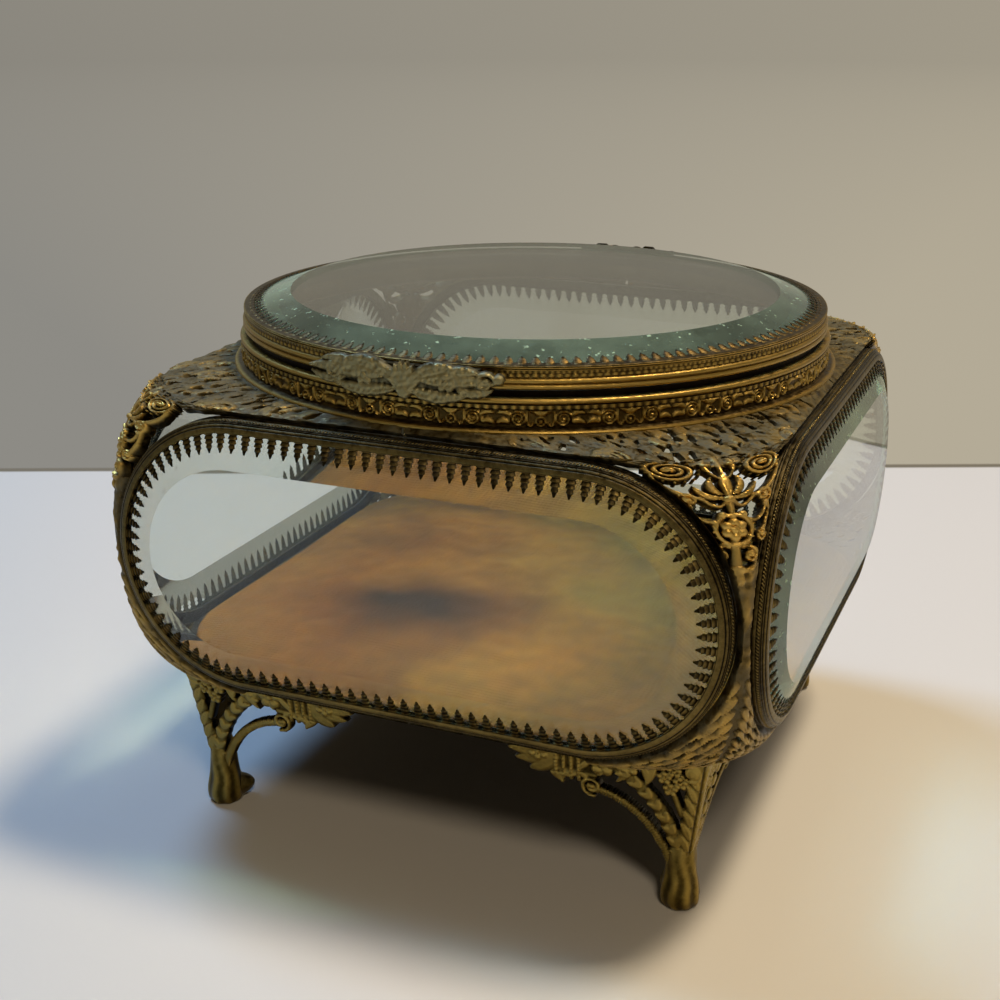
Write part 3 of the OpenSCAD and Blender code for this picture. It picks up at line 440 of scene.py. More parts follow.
def cornerSurface(x, y, level):
    # x runs across from the corner's middle and y down from the edge of the top, in mm. Above it (y < 0)
    # straight lines run to the collar. On the skirt f = 90 - y / r is the turn up the bezel's round end,
    # e = L + r cos f its reach past the half straight L, and with the face at A the point is
    # (e + (A - e) sin a, -(e + (A - e) cos a), mid + r sin f). Below it the lip runs inwards. Level 1 is one
    # metal in.
    t, long, mid = casket["metal"], casket["halfStraight"], casket["panelMid"]
    face, r = cornerFace - level * t, casket["endRadius"] + (1 - level) * t
    outerR = casket["endRadius"] + t
    f = (math.pi / 2 - y / outerR).clip(-math.pi / 2, math.pi / 2)
    e = long + r * np.cos(f)
    a = (math.pi / 4 + x / (cornerFace - (long + outerR * np.cos(f)))).clip(0, math.pi / 2)
    skirt = np.stack([e + (face - e) * np.sin(a), -(e + (face - e) * np.cos(a)), mid + r * np.sin(f)], -1)
    turn = math.pi / 4 + x.clip(-cornerBend, cornerBend) / (cornerFace - long)
    past = (np.abs(x) - cornerBend).clip(0)
    reach = face - long - (y - cornerDrop).clip(0)
    edgeX = long + reach * np.sin(turn) - np.where(x < 0, past, 0)
    edgeY = -(long + reach * np.cos(turn) - np.where(x < 0, 0, past))
    ringTurn = math.pi / 4 + x * math.radians(44.5) / cornerLook["halfSide"]
    ringX, ringY = cornerLook["footRing"] * np.sin(ringTurn), -cornerLook["footRing"] * np.cos(ringTurn)
    s = (-y / np.hypot(edgeX - ringX, edgeY - ringY)).clip(0, 1)
    edgeZ, ringZ = casket["panelTop"] + (1 - level) * t, casket["collarFoot"] - level * t
    top = np.stack([edgeX + (ringX - edgeX) * s, edgeY + (ringY - edgeY) * s,
                    edgeZ + (ringZ - edgeZ) * (1 - (1 - s) ** 2)], -1)
    lip = np.stack([edgeX, edgeY, casket["under"] + level * t], -1)
    return np.where((y < 0)[..., None], top, np.where((y > cornerDrop)[..., None], lip, skirt))


def skirtHalf(y):
    # Half of the skirt's width at y: (A - e) * pi / 4, with e from the bezel's round end.
    r = casket["endRadius"] + casket["metal"]
    f = (math.pi / 2 - y / r).clip(-math.pi / 2, math.pi / 2)
    return (cornerFace - casket["halfStraight"] - r * np.cos(f)) * math.pi / 4


def topReach(x):
    # How far the top runs from its edge to the collar's foot at x.
    a = cornerSurface(x, np.full(x.shape, -1e-6), np.zeros(x.shape))
    b = cornerSurface(x, np.full(x.shape, -1e3), np.zeros(x.shape))
    return np.linalg.norm((a - b)[..., :2], axis=-1)


def drawTopLeaves(c):
    # Rows of grooved leaves fan out from the collar, with a drop-shaped hole between each two, round two
    # volutes.
    random = np.random.default_rng(cornerLook["seed"])
    pitch, gap = cornerLook["leafPitch"], cornerLook["leafRows"]
    voluteX, voluteY = cornerLook["volute"]
    holes = []
    for row in range(5):
        for k in np.arange(-16, 17):
            at = (k + 0.5 * (row % 2)) * pitch + random.uniform(-0.5, 0.5)
            start = -float(topReach(np.array([at]))[0]) + 1.2 + row * gap + random.uniform(-0.4, 0.4)
            lean = 1.5 * math.sin(k * 1.9 + row) + random.uniform(-0.9, 0.9)
            lowest = np.interp(abs(at), [0, 10, 22, 30, 60], [-2.5, 0.4, -3.0, -4.0, -3.4])
            if abs(at) > 58 or start > lowest:
                continue
            tip = (at + 2.2 * lean, start + gap * 1.15)
            leaf(c, curve((at, start), (at + lean, start + gap * 0.6), tip, count=8),
                 cornerLook["leafWidth"] * random.uniform(0.75, 1.35), random.uniform(0.25, 0.6), 0.2)
            beside, size = at + pitch / 2 + 0.4 * lean, cornerLook["hole"] * random.uniform(0.45, 1.35)
            if abs(beside) < 57.5:
                drop = [(beside, start + 0.4), (beside + 0.5 * lean, start + 0.4 + 1.5 * size)]
                holes.append((drop, [0.5 * size, size]))
    for hand in (-1, 1):
        stroke(c, spiral(hand * voluteX, voluteY, 3.6, 0.9, 90, 1.8, hand, 44), 1.15, 0.5)
        disc(c, hand * voluteX, voluteY, 1.0, 0.7)
    for path, width in holes:
        if abs(abs(path[0][0]) - voluteX) > 4.4 or path[0][1] < -5.5:
            stroke(c, path, width, hole=True)


# Gilt filigree between the volutes and the post: what stands on the right, and is mirrored to the left
filigreeLook = {
    # across, down
    "gaps": [(0, 3.4), (0, 7.0), (2.9, 5.2), (5.4, 3.0), (5.9, 1.0), (2.4, 1.2)],
    # across, down, outer and inner radius, start angle, turns, way round, points, width, rise
    "scrolls": [(8.9, 8.6, 4.6, 1.0, -70, 2.3, 1, 54, 1.25, 0.65),
                (7.4, 18.9, 2.1, 0.6, 100, 1.4, -1, 26, 1.05, 0.8),
                (5.7, 27.6, 1.5, 0.5, 20, 1.2, 1, 18, 0.9, 0.8),
                (2.7, 31.2, 1.5, 0.5, -90, 1.2, 1, 18, 0.95, 0.75)],
    # control points, width, rise
    "stems": [(((12.8, 11.0), (13.0, 15.6), (9.4, 17.6), (4.8, 18.4)),
               [1.1] * 4 + [1.7] * 6 + [1.2] * 4, 0.7),
              (((7.6, 21.0), (7.0, 23.6), (5.4, 24.4), (3.6, 24.2)), 1.15, 0.65),
              (((8.2, 20.6), (8.6, 23.4), (7.4, 25.4), (6.2, 27.2)), [0.9] * 7 + [1.4] * 7, 0.65),
              (((1.0, 12.0), (2.4, 10.4), (3.4, 7.0), (2.4, 3.4)), [0.8] * 6 + [1.3] * 8, 0.55),
              (((0.9, 19.2), (1.6, 21.2), (3.0, 20.4), (4.8, 18.6)), 1.0, 0.6),
              (((1.3, 29.6), (2.2, 29.2), (2.7, 29.4), (2.9, 29.7)), 1.0, 0.6),
              (((4.0, 31.6), (4.1, 33.4), (2.6, 34.2), (1.2, 34.2)), 1.0, 0.5)],
    "leaves": [(((0.7, 17.4), (3.2, 16.4), (3.4, 13.4), (2.2, 11.2)), 1.7, 0.6),
               (((0.6, 18.2), (3.4, 18.6), (5.6, 16.8), (6.0, 14.2)), 1.6, 0.7)],
    # across, down, radius, rise
    "beads": [(8.9, 8.6, 1.1, 1.0), (7.4, 18.9, 0.8, 1.0), (2.2, 6.6, 0.9, 0.9), (5.7, 27.6, 0.7, 1.0),
              (2.7, 31.2, 0.7, 1.0), (1.9, 22.4, 0.85, 0.95)],
    "rosette": 25.8}


def drawFiligree(c):
    look = filigreeLook
    for hand in (-1, 1):
        for x, y in look["gaps"]:
            stroke(c, [(hand * x, y), (hand * x * 1.1, y + 1.0)], [1.0, 1.5], hole=True)
    for hand in (-1, 1):
        for x, y, outer, inner, start, turns, way, count, width, rise in look["scrolls"]:
            start = start if hand > 0 else 180 - start
            stroke(c, spiral(hand * x, y, outer, inner, start, turns, hand * way, count), width, rise)
        for corners, width, rise in look["stems"]:
            stroke(c, curve(*corners, hand=hand), width, rise)
        for corners, width, rise in look["leaves"]:
            leaf(c, curve(*corners, hand=hand), width, rise)
        for x, y, radius, rise in look["beads"]:
            disc(c, hand * x, y, radius, rise)
        x, y = look["scrolls"][0][:2]
        for t in np.radians(np.arange(0, 360, 22.5)):          # dots round the largest scroll
            disc(c, hand * x + 5.0 * math.cos(t), y + 5.0 * math.sin(t), 0.4, 0.8)
    # a rod down the middle, with a long leaf, and a rosette in a ring of dots
    leaf(c, curve((0, 18.6), (0.4, 14), (-0.3, 12.5), (0, 10.2)), 2.3, 0.7)
    stroke(c, [(0, 10.8), (0, 1.0)], [1.0, 1.7], 0.5)
    disc(c, 0, 18.6, 1.2, 1.0)
    stroke(c, [(0, 18.6), (0, 23)], [1.8, 1.4], 0.6)
    stroke(c, [(0, 28.6), (0, 36)], [1.8, 2.6], 0.6)
    stroke(c, arc(0, look["rosette"], 3.3, 0, 360, 44), 1.2, 0.75)
    blossom(c, 0, look["rosette"], 2.7, 6, 0.9)
    for t in np.radians(np.arange(9, 360, 20)):
        disc(c, 3.9 * math.cos(t), look["rosette"] + 3.9 * math.sin(t), 0.36, 0.8)


def drawCorner():
    c = newCanvas(*cornerLook["canvas"], cornerLook["step"])
    x, y = c["x"], c["y"]
    side, half, bend = np.abs(x), skirtHalf(y), cornerBend
    # the top, with a scalloped edge
    scallop = (0.9 * np.abs(np.sin(side * math.pi / 4.4)) + 0.25 * lumps(x, y, 5, 1)) * (side < bend)
    low = np.interp(side, [0, 6, 9, 14, 20, bend, bend + 2, 63], [8.6, 7.4, 5.6, 7.0, 4.0, 0.6, -0.02, -0.02])
    top = np.minimum.reduce([topReach(x) + y, low - scallop - y, cornerLook["halfSide"] - side,
                             np.where(y > 0, half - 1.3 - side, 9.0)])
    c["metal"] = np.maximum(c["metal"], top)
    c["rise"] += np.where(top > 0, 0.15 + 0.14 * lumps(x, y, 2.4, 2), 0)
    drawTopLeaves(c)
    c["x"] = x + cornerLook["shift"]         # the filigree stands a little to the left of the corner's middle
    drawFiligree(c)
    c["x"] = x
    # the post, run over with solder, and the flare below it with slanting leaf blades and slits
    post = np.minimum.reduce([half - 0.15 - side, y - 33.2, cornerDrop + 1 - y])
    c["metal"] = np.maximum(c["metal"], post)
    solder = 0.3 + 0.16 * lumps(x, y, 2.2, 3) + 0.12 * lumps(x, y, 5.0, 6)
    c["rise"] += np.where(post > 0, solder * (1 - 0.75 * ((y - 52) / 8).clip(0, 1)), 0)
    for start in np.arange(56, 92, 3.2):
        room = float(skirtHalf(np.array([start + 2.0]))[0]) - 1.2
        for at in np.arange(0.9, room, 2.5):
            for hand in (-1, 1):
                blade = (at, start), (at + 1.2, start + 1.4), (at + 2.3, start + 4.6)
                leaf(c, curve(*blade, hand=hand, count=8), 1.9, 0.6, 0.3)
    c["metal"] = np.where(y > 34, np.minimum(c["metal"], half - 0.15 - side), c["metal"])
    for start, spacing in ((70.5, 2.6), (76.0, 3.1), (81.5, 3.6), (87.0, 4.2)):
        room = float(skirtHalf(np.array([start + 2.0]))[0]) - 1.6
        for at in np.arange(spacing / 2, room, spacing):
            for hand in (-1, 1):
                stroke(c, [(hand * at, start), (hand * (at + 1.1), start + 2.4)], [0.5, 1.0], hole=True)
    lip = np.minimum.reduce([y - cornerDrop + 1, cornerDrop + cornerLook["lipDepth"] - y,
                             cornerLook["halfSide"] - side,
                             np.where(side > bend - 0.1, y - cornerDrop - 0.1, 9.0)])
    c["metal"] = np.maximum(c["metal"], lip)
    c["rise"] = c["rise"].clip(0, 0.95)
    c["rise"][y > cornerDrop - 0.6] = 0
    return c


def cornerDust(x, y):
    # Dust lies on the top and its fall, less towards the filigree, and more again on the post and the
    # flare.
    soil = np.interp(y, [-20, 2, 8, 30, 36, 60, 70, 95], [0.62, 0.5, 0.1, 0.05, 0.5, 0.45, 0.4, 0.3])
    return (soil + 0.3 * lumps(x, y, 5, 4)).clip(0, 1)


cornerSheet = cutSheet(drawCorner(), cornerSurface, casket["metal"], cornerDust)
for i, where in enumerate(cornerNames):
    sheet = (turned(cornerSheet[0], i), *cornerSheet[1:])
    makePiece("cornerFiligree_" + where, [sheet], [finish["filigree"]], "casket",
              "corner_" + where)
print("corners ready:", len(cornerSheet[1]), "faces each")


# Bezels
bezelLook = {"rim": 2.3, "grooves": (171, 160, 149, 138, 120), "wallGrooves": (-3.3, -2.85), "back": -4.6,
             "ropeAt": (0.335, -1.714), "rope": 0.38, "notchPitch": 0.7, "notchDepth": 0.16,
             "toothPitch": 2.9, "toothRoot": 1.9, "toothLength": 4.3, "toothHalf": 1.16, "steps": 380}
paneLook = {"edgeDepth": 1.25, "edge": -1.2, "flatDepth": 9.4, "flat": 1.6, "back": -3.95}
bevelSlope = (paneLook["flat"] - paneLook["edge"]) / (paneLook["flatDepth"] - paneLook["edgeDepth"])


def panelPoint(across, up, out):
    # A panel drawn flat, x across, y up and out of its face, stood at the front.
    return np.stack([across, -casket["face"] - out, casket["panelMid"] + up], -1)


def ovalPath(s, depth):
    # Point and inward direction at length s along the outline that lies depth inside the bezel.
    r, long = casket["endRadius"] - depth, 2 * casket["halfStraight"]
    bend = math.pi * r
    s = s % (2 * long + 2 * bend)
    t1, t2 = (s - long) / r - math.pi / 2, (s - 2 * long - bend) / r + math.pi / 2
    zero, one = np.zeros_like(s), np.ones_like(s)
    pick = [s < long, s < long + bend, s < 2 * long + bend]
    h = long / 2
    px = np.select(pick, [s - h, h + r * np.cos(t1), h - (s - long - bend)], -h + r * np.cos(t2))
    py = np.select(pick, [-r * one, r * np.sin(t1), r * one], r * np.sin(t2))
    dx = np.select(pick, [zero, -np.cos(t1), zero], -np.cos(t2))
    dy = np.select(pick, [one, -np.sin(t1), -one], -np.sin(t2))
    return px, py, dx, dy


def ovalLength(depth):
    return 4 * casket["halfStraight"] + twoPi * (casket["endRadius"] - depth)


def ovalSweep(section, steps):
    # Carries a closed section of (depth, out) points round the panel's outline.
    s = np.linspace(0, ovalLength(0), steps, endpoint=False)
    px, py, dx, dy = [v[:, None] for v in ovalPath(s, 0.0)]
    d, out = section[..., 0], section[..., 1]
    points = panelPoint(px + dx * d, py + dy * d, out + 0 * px)
    return points.reshape(-1, 3), gridFaces(steps, section.shape[-2], True, True)


def rimSection():
    # Section of (depth, out) round a bezel: the wall, a quarter circle of radius rim over to the face, cut
    # by fine grooves exp(-((t - groove) / 3)^2), and the lips before and behind the pane; with the
    # brightness of each point.
    rim, slim, back = bezelLook["rim"], paneLook["edgeDepth"], bezelLook["back"]
    t = np.linspace(180, 90, 41)
    cut = sum(np.exp(-((t - groove) / 3) ** 2) for groove in bezelLook["grooves"])
    r, turn = rim - 0.14 * cut, np.radians(t)
    crown = np.stack([rim + r * np.cos(turn), -rim + r * np.sin(turn)], 1)
    up = np.linspace(-3.6, -rim - 0.05, 14)
    lined = sum(np.exp(-((up - groove) / 0.11) ** 2) for groove in bezelLook["wallGrooves"])
    wall = np.stack([0.12 * lined, up], 1)
    bevel = paneLook["edge"] + (rim + 0.15 - slim) * bevelSlope
    lips = [(rim + 0.15, -0.12), (rim + 0.15, bevel + 0.04), (slim - 0.05, -1.1), (slim - 0.1, -3.97),
            (2.6, -3.97), (2.6, back)]
    light = [[0.0], 0.45 - 0.5 * lined, 0.44 + 0.1 * (180 - t) / 90 - 0.6 * cut, [0.3, 0, 0, 0, 0, 0]]
    return np.concatenate([[(0.0, back)], wall, crown, lips]), np.concatenate(light).clip(0, 1)


def ropeBead():
    # A bead round the outline, whose radius is cut by (1 - cos(2 pi s / pitch + 2 t)) / 2: slanting
    # notches.
    look = bezelLook
    notches = round(ovalLength(0) / look["notchPitch"])
    steps, around = notches * 4, 9
    s = np.linspace(0, ovalLength(0), steps, endpoint=False)[:, None]
    t = np.linspace(0, twoPi, around, endpoint=False)[None]
    wave = (1 - np.cos(twoPi * s / (ovalLength(0) / notches) + 2 * t)) / 2
    r = look["rope"] - look["notchDepth"] * wave
    px, py, dx, dy = ovalPath(s, 0.0)
    d = look["ropeAt"][0] + r * np.cos(t)
    points = panelPoint(px + dx * d, py + dy * d, look["ropeAt"][1] + r * np.sin(t))
    return points.reshape(-1, 3), gridFaces(steps, around, True, True), (1 - 1.1 * wave).clip(0, 1).ravel()


def firTeeth(halfWidth, length):
    # One tooth in its own frame: levels along it with a stepped half width, and a ridge with a rib at each
    # step.
    along = np.array([0, 0.16, 0.2, 0.36, 0.4, 0.56, 0.6, 0.76, 0.8, 1.0])
    wide = halfWidth * np.array([1, 1, 0.68, 0.94, 0.62, 0.82, 0.5, 0.64, 0.42, 0.14])
    high = np.array([0.5, 0.54, 0.2, 0.46, 0.16, 0.4, 0.14, 0.32, 0.12, 0.06])
    zero = np.zeros(len(along))
    across = np.stack([-wide, -0.55 * wide, 0.55 * wide, wide, zero], 1)
    out = np.stack([zero, high, high, zero, zero - 0.02], 1)
    light = np.stack([high * 0.4, high * 1.5, high * 1.5, high * 0.4, zero], 1)
    return across, np.repeat(along[:, None] * length, 5, 1), out, light


def repeatTubes(points, relief):
    # Closes count tubes, each n x m points, by flat ends, as one set of points and faces.
    count, n, m = points.shape[:3]
    last, k = (n - 1) * m, np.arange(1, m - 1)
    start = np.stack([0 * k, k + 1, k, k], 1)
    end = np.stack([last + 0 * k, last + k, last + k + 1, last + k + 1], 1)
    faces = np.concatenate([gridFaces(n, m, wrapCols=True), start, end])
    faces = (faces[None] + (np.arange(count) * n * m)[:, None, None]).reshape(-1, 4)
    return points.reshape(-1, 3), faces, np.broadcast_to(relief, points.shape[:3]).reshape(-1)


def bezelTeeth():
    # One tooth a pitch along the inside of the rim; each lies on the bevel, which rises with depth by its
    # slope.
    look = bezelLook
    root = look["toothRoot"]
    count = round(ovalLength(root) / look["toothPitch"])
    s = (np.arange(count) + 0.5) * ovalLength(root) / count
    px, py, dx, dy = [v[:, None, None] for v in ovalPath(s, root)]
    across, inward, out, relief = firTeeth(look["toothHalf"], look["toothLength"])
    bevel = paneLook["edge"] + 0.05 + (root + inward - paneLook["edgeDepth"]) * bevelSlope
    points = panelPoint(px + dx * inward + dy * across, py + dy * inward - dx * across, bevel + out + 0 * px)
    return repeatTubes(points, relief)


section, light = rimSection()
rim = (*ovalSweep(section, bezelLook["steps"]), np.tile(light, bezelLook["steps"]))
rope, teeth = ropeBead(), bezelTeeth()
for i, where in enumerate(sideNames):
    parts = [(turned(p[0], i), *p[1:]) for p in (rim, rope, teeth)]
    makePiece("bezelRim_" + where, parts, [finish["bezel"]], "casket", "bezel_" + where)
print("bezels ready:", len(rim[1]) + len(rope[1]) + len(teeth[1]), "faces each")


# Round bands: a section of (radius, height) carried round the vertical axis
def ringSweep(section, steps, relief, bead):
    # Points (r cos t, r sin t, z) for each section point and turn; bead(t, section) adds to the radius.
    t = np.linspace(0, twoPi, steps, endpoint=False)[:, None]
    more, shine = bead(t, section)
    points = ringPoints(section[None, :, 0] + more, t, section[None, :, 1])
    relief = (relief + shine).clip(0, 1)
    return points.reshape(-1, 3), gridFaces(steps, len(section), True, True), relief.ravel()


# Leaves beside the middle of a repeat: control points and width
bandLook = {"radius": 64.8, "repeats": 24, "dashes": 240, "steps": 1680, "rows": 17,
            "leaves": [(((0.3, 0.5), (0.9, 1.9), (2.0, 1.5)), 0.8),
                       (((5.8, 0.6), (6.8, 2.0), (8.3, 0.9)), 1.0),
                       (((5.9, -0.9), (7.2, 0.2), (8.4, -1.2)), 1.0)]}
collarFoot, lidFoot = casket["collarFoot"], casket["lidBand"]
repeatWidth = twoPi * bandLook["radius"] / bandLook["repeats"]


def embossedScrolls():
    # One repeat of the collar's embossed band as a height map: a ringed eye under a fan of leaves, a volute
    # and a C scroll on each side of it, and long leaves between the repeats.
    c = newCanvas(0, repeatWidth, -1.9, 1.9, repeatWidth / 110)
    for middle in (-repeatWidth / 2, repeatWidth / 2, repeatWidth * 1.5):
        stroke(c, arc(middle, -0.6, 0.85, 0, 360, 24), 0.42, 0.6)
        disc(c, middle, -0.6, 0.36, 0.7)
        stroke(c, [(middle, 0.5), (middle, 1.7)], [0.5, 0.9], 0.6)
        for hand in (-1, 1):
            eye = middle + hand * 4.2
            stroke(c, spiral(eye, -0.05, 1.7, 0.4, 90 - hand * 110, 2.1, hand, 50), 0.42, 0.65)
            disc(c, eye, -0.05, 0.38, 0.7)
            hook = curve((2.4, 1.4), (2.9, -2.2), (1.5, -1.9), (1.4, -0.9), hand=hand, across=middle)
            stroke(c, hook, 0.5, 0.6)
            for corners, width in bandLook["leaves"]:
                leaf(c, curve(*corners, hand=hand, across=middle), width, 0.6)
    return c


def sample(canvas, x, y):
    # The canvas height at x, y, between the four grid points round it.
    u = ((x - canvas["x"][0, 0]) / canvas["step"]).clip(0, canvas["x"].shape[1] - 1.001)
    v = ((y - canvas["y"][0, 0]) / canvas["step"]).clip(0, canvas["x"].shape[0] - 1.001)
    i, j = u.astype(int), v.astype(int)
    a, b, h = u - i, v - j, canvas["rise"]
    return (h[j, i] * (1 - a) + h[j, i + 1] * a) * (1 - b) + (h[j + 1, i] * (1 - a) + h[j + 1, i + 1] * a) * b


scrolls = embossedScrolls()
rows = bandLook["rows"]
collarSection = np.concatenate([
    [(62.6, 0), (66.1, 0), (66.15, 0.35), (66.0, 0.6), (65.0, 0.75)],
    np.stack([np.full(rows, 64.15), np.linspace(1.0, 4.3, rows)], 1), [(64.5, 4.42)],
    np.stack([np.full(5, 64.25), np.linspace(4.5, 5.1, 5)], 1), [(64.5, 5.18), (64.1, 5.3)],
    arc(64.15, 5.85, 0.55, -70, 100, 9), [(62.6, 6.35)]]) + (0, collarFoot)
collarRelief = np.full(len(collarSection), 0.2)
collarRelief[:5] = [0, 0.6, 0.95, 0.95, 0.1]
collarRelief[5:5 + rows] = 0.26
collarRelief[-10:-1] = 0.85


def collarBead(t, section):
    # Embossed scrolls on the wide band, and a cosine bead on the narrow one.
    radius, z = section[None, :, 0], section[None, :, 1] - collarFoot
    band = ((z > 0.99) & (z < 4.31) & (radius < 64.2)).astype(float)
    edge = np.minimum(1, np.minimum(z - 0.95, 4.35 - z).clip(0) * 4)
    along = (t * bandLook["radius"]) % repeatWidth
    embossed = sample(scrolls, along + 0 * z, (z - 2.65) * 1.05 + 0 * t) * band * edge
    dash = ((z > 4.45) & (z < 5.15) & (radius < 64.3)).astype(float)
    notch = (0.5 + 0.5 * np.cos(bandLook["dashes"] * t)) * dash
    return embossed + 0.3 * notch, embossed * 1.3 + 0.6 * notch


collarBand = ringSweep(collarSection, bandLook["steps"], collarRelief, collarBead)
makePiece("embossedCollar", [collarBand], [finish["band"]], "casket", "collar")

# The lid's flat, bevel and back are circles, each of (radius, height)
lidLook = {"beads": 268, "hatching": 384, "steps": 1608, "teeth": 150, "toothLength": 3.2, "toothHalf": 1.12,
           "toothRoot": 62.6, "bevelFoot": 109.24, "slope": 0.337, "flat": (53.5, 112.3),
           "edge": (62.65, 109.2), "back": (62.65, 106.85)}
lidSection = np.concatenate([
    [(62.82, 0), (63.2, 0)], arc(63.4, 0.6, 0.58, -70, 80, 8), arc(63.42, 1.72, 0.55, -70, 80, 8),
    [(63.4, 2.35)], np.stack([np.full(5, 63.35), np.linspace(2.42, 3.0, 5)], 1),
    [(63.5, 3.1), (63.3, 3.2), (63.3, 3.62), (63.62, 3.72), (63.66, 3.86), (63.4, 3.96), (63.64, 4.1),
     (63.66, 4.26), (63.4, 4.36), (63.6, 4.48), (63.3, 4.6), (62.1, 4.6), (61.6, 4.72), (61.55, 4.35),
     (62.7, 3.95), (62.82, 3.5)]]) + (0, lidFoot)
lidRelief = np.interp(lidSection[:, 0], [62.8, 63.35, 63.65, 63.98], [0.1, 0.25, 0.75, 0.95])


def lidBead(t, section):
    # A row of beads at half the height, and fine hatching above it.
    radius, z = section[None, :, 0], section[None, :, 1] - lidFoot
    row = ((z > 2.4) & (z < 3.05)).astype(float)
    bead = (0.5 + 0.5 * np.cos(lidLook["beads"] * t)) * row * np.sqrt((1 - ((z - 2.71) / 0.36) ** 2).clip(0))
    above = ((z > 3.15) & (z < 3.7) & (radius < 63.4)).astype(float)
    hatch = above * (0.5 + 0.5 * np.cos(lidLook["hatching"] * t))
    return 0.32 * bead + 0.12 * hatch, 0.8 * bead + 0.4 * hatch


def lidTeeth():
    # Teeth that point at the lid's middle and lie on its bevel, which rises by slope.
    look = lidLook
    a = ((np.arange(look["teeth"]) + 0.5) * twoPi / look["teeth"])[:, None, None]
    across, inward, out, relief = firTeeth(look["toothHalf"], look["toothLength"])
    r = look["toothRoot"] - inward
    z = look["bevelFoot"] + 0.1 + (look["toothRoot"] - r) * look["slope"] + 0.6 * out
    points = np.stack([r * np.cos(a) - across * np.sin(a), r * np.sin(a) + across * np.cos(a), z + 0 * a], -1)
    return repeatTubes(points, relief * 0.5)


lidBand = ringSweep(lidSection, lidLook["steps"], lidRelief, lidBead)
makePiece("lidGallery", [lidBand, lidTeeth()], [finish["band"]], "lid", "lid_bezel")
print("bands ready")


# Panes: a flat with a bevel round it
def bevelledPane(*rings):
    # Closes rings of points at the flat's edge, the bevel's edge and the back; what lies between them, the
    # bevel and the pane's edge, gets material 1.
    points, faces = closedTube(np.stack(rings))
    return points, faces, 0, 0, (np.arange(len(faces)) < 2 * len(rings[0])).astype(int)


def ovalRing(depth, out):
    s = np.linspace(0, 1, 240, endpoint=False) * ovalLength(depth)
    px, py = ovalPath(s, depth)[:2]
    return panelPoint(px, py, out + 0 * px)


def circleRing(r, z):
    return ringPoints(r, np.linspace(0, twoPi, 300, endpoint=False), z)


sidePane = bevelledPane(ovalRing(paneLook["flatDepth"], paneLook["flat"]),
                        ovalRing(paneLook["edgeDepth"], paneLook["edge"]),
                        ovalRing(paneLook["edgeDepth"], paneLook["back"]))
for i, where in enumerate(sideNames):
    bevel = finish["deepBevel"] if where == "right" else finish["bevel"]
    makePiece("bevelledPane_" + where, [(turned(sidePane[0], i), *sidePane[1:])], [finish["glass"], bevel],
              "casket", "pane_" + where, angle=5)
lidPane = bevelledPane(*[circleRing(*lidLook[key]) for key in ("flat", "edge", "back")])
makePiece("bevelledLidPane", [lidPane], [finish["glass"], finish["deepBevel"]], "lid",
          "lid_pane", angle=5)
print("panes ready")


# Legs: two pierced wings that meet at the corner, over a fluted scroll foot. The ornament is drawn for a
# corner at drawnAt, and then moved in to wingY.
legLook = {"canvas": (15.5, 60.5, 1.5, 36.2), "step": 0.24, "wingY": 58.6, "drawnAt": 59.6, "lean": 8.2,
           "thickness": 1.5, "top": 36.1, "footAt": 53.3, "toe": 2.9, "toeLength": 6.6}


def wingSurface(x, h, level):
    # A plane that leans in from the top by h sin(lean), one thickness deep.
    lean, down = math.radians(legLook["lean"]), legLook["top"] - h
    y = -legLook["wingY"] + down * math.sin(lean) + level * legLook["thickness"] * math.cos(lean)
    z = legLook["top"] - down * math.cos(lean) + 0 * level
    return np.stack([x - (legLook["drawnAt"] - legLook["wingY"]), y, z], -1)


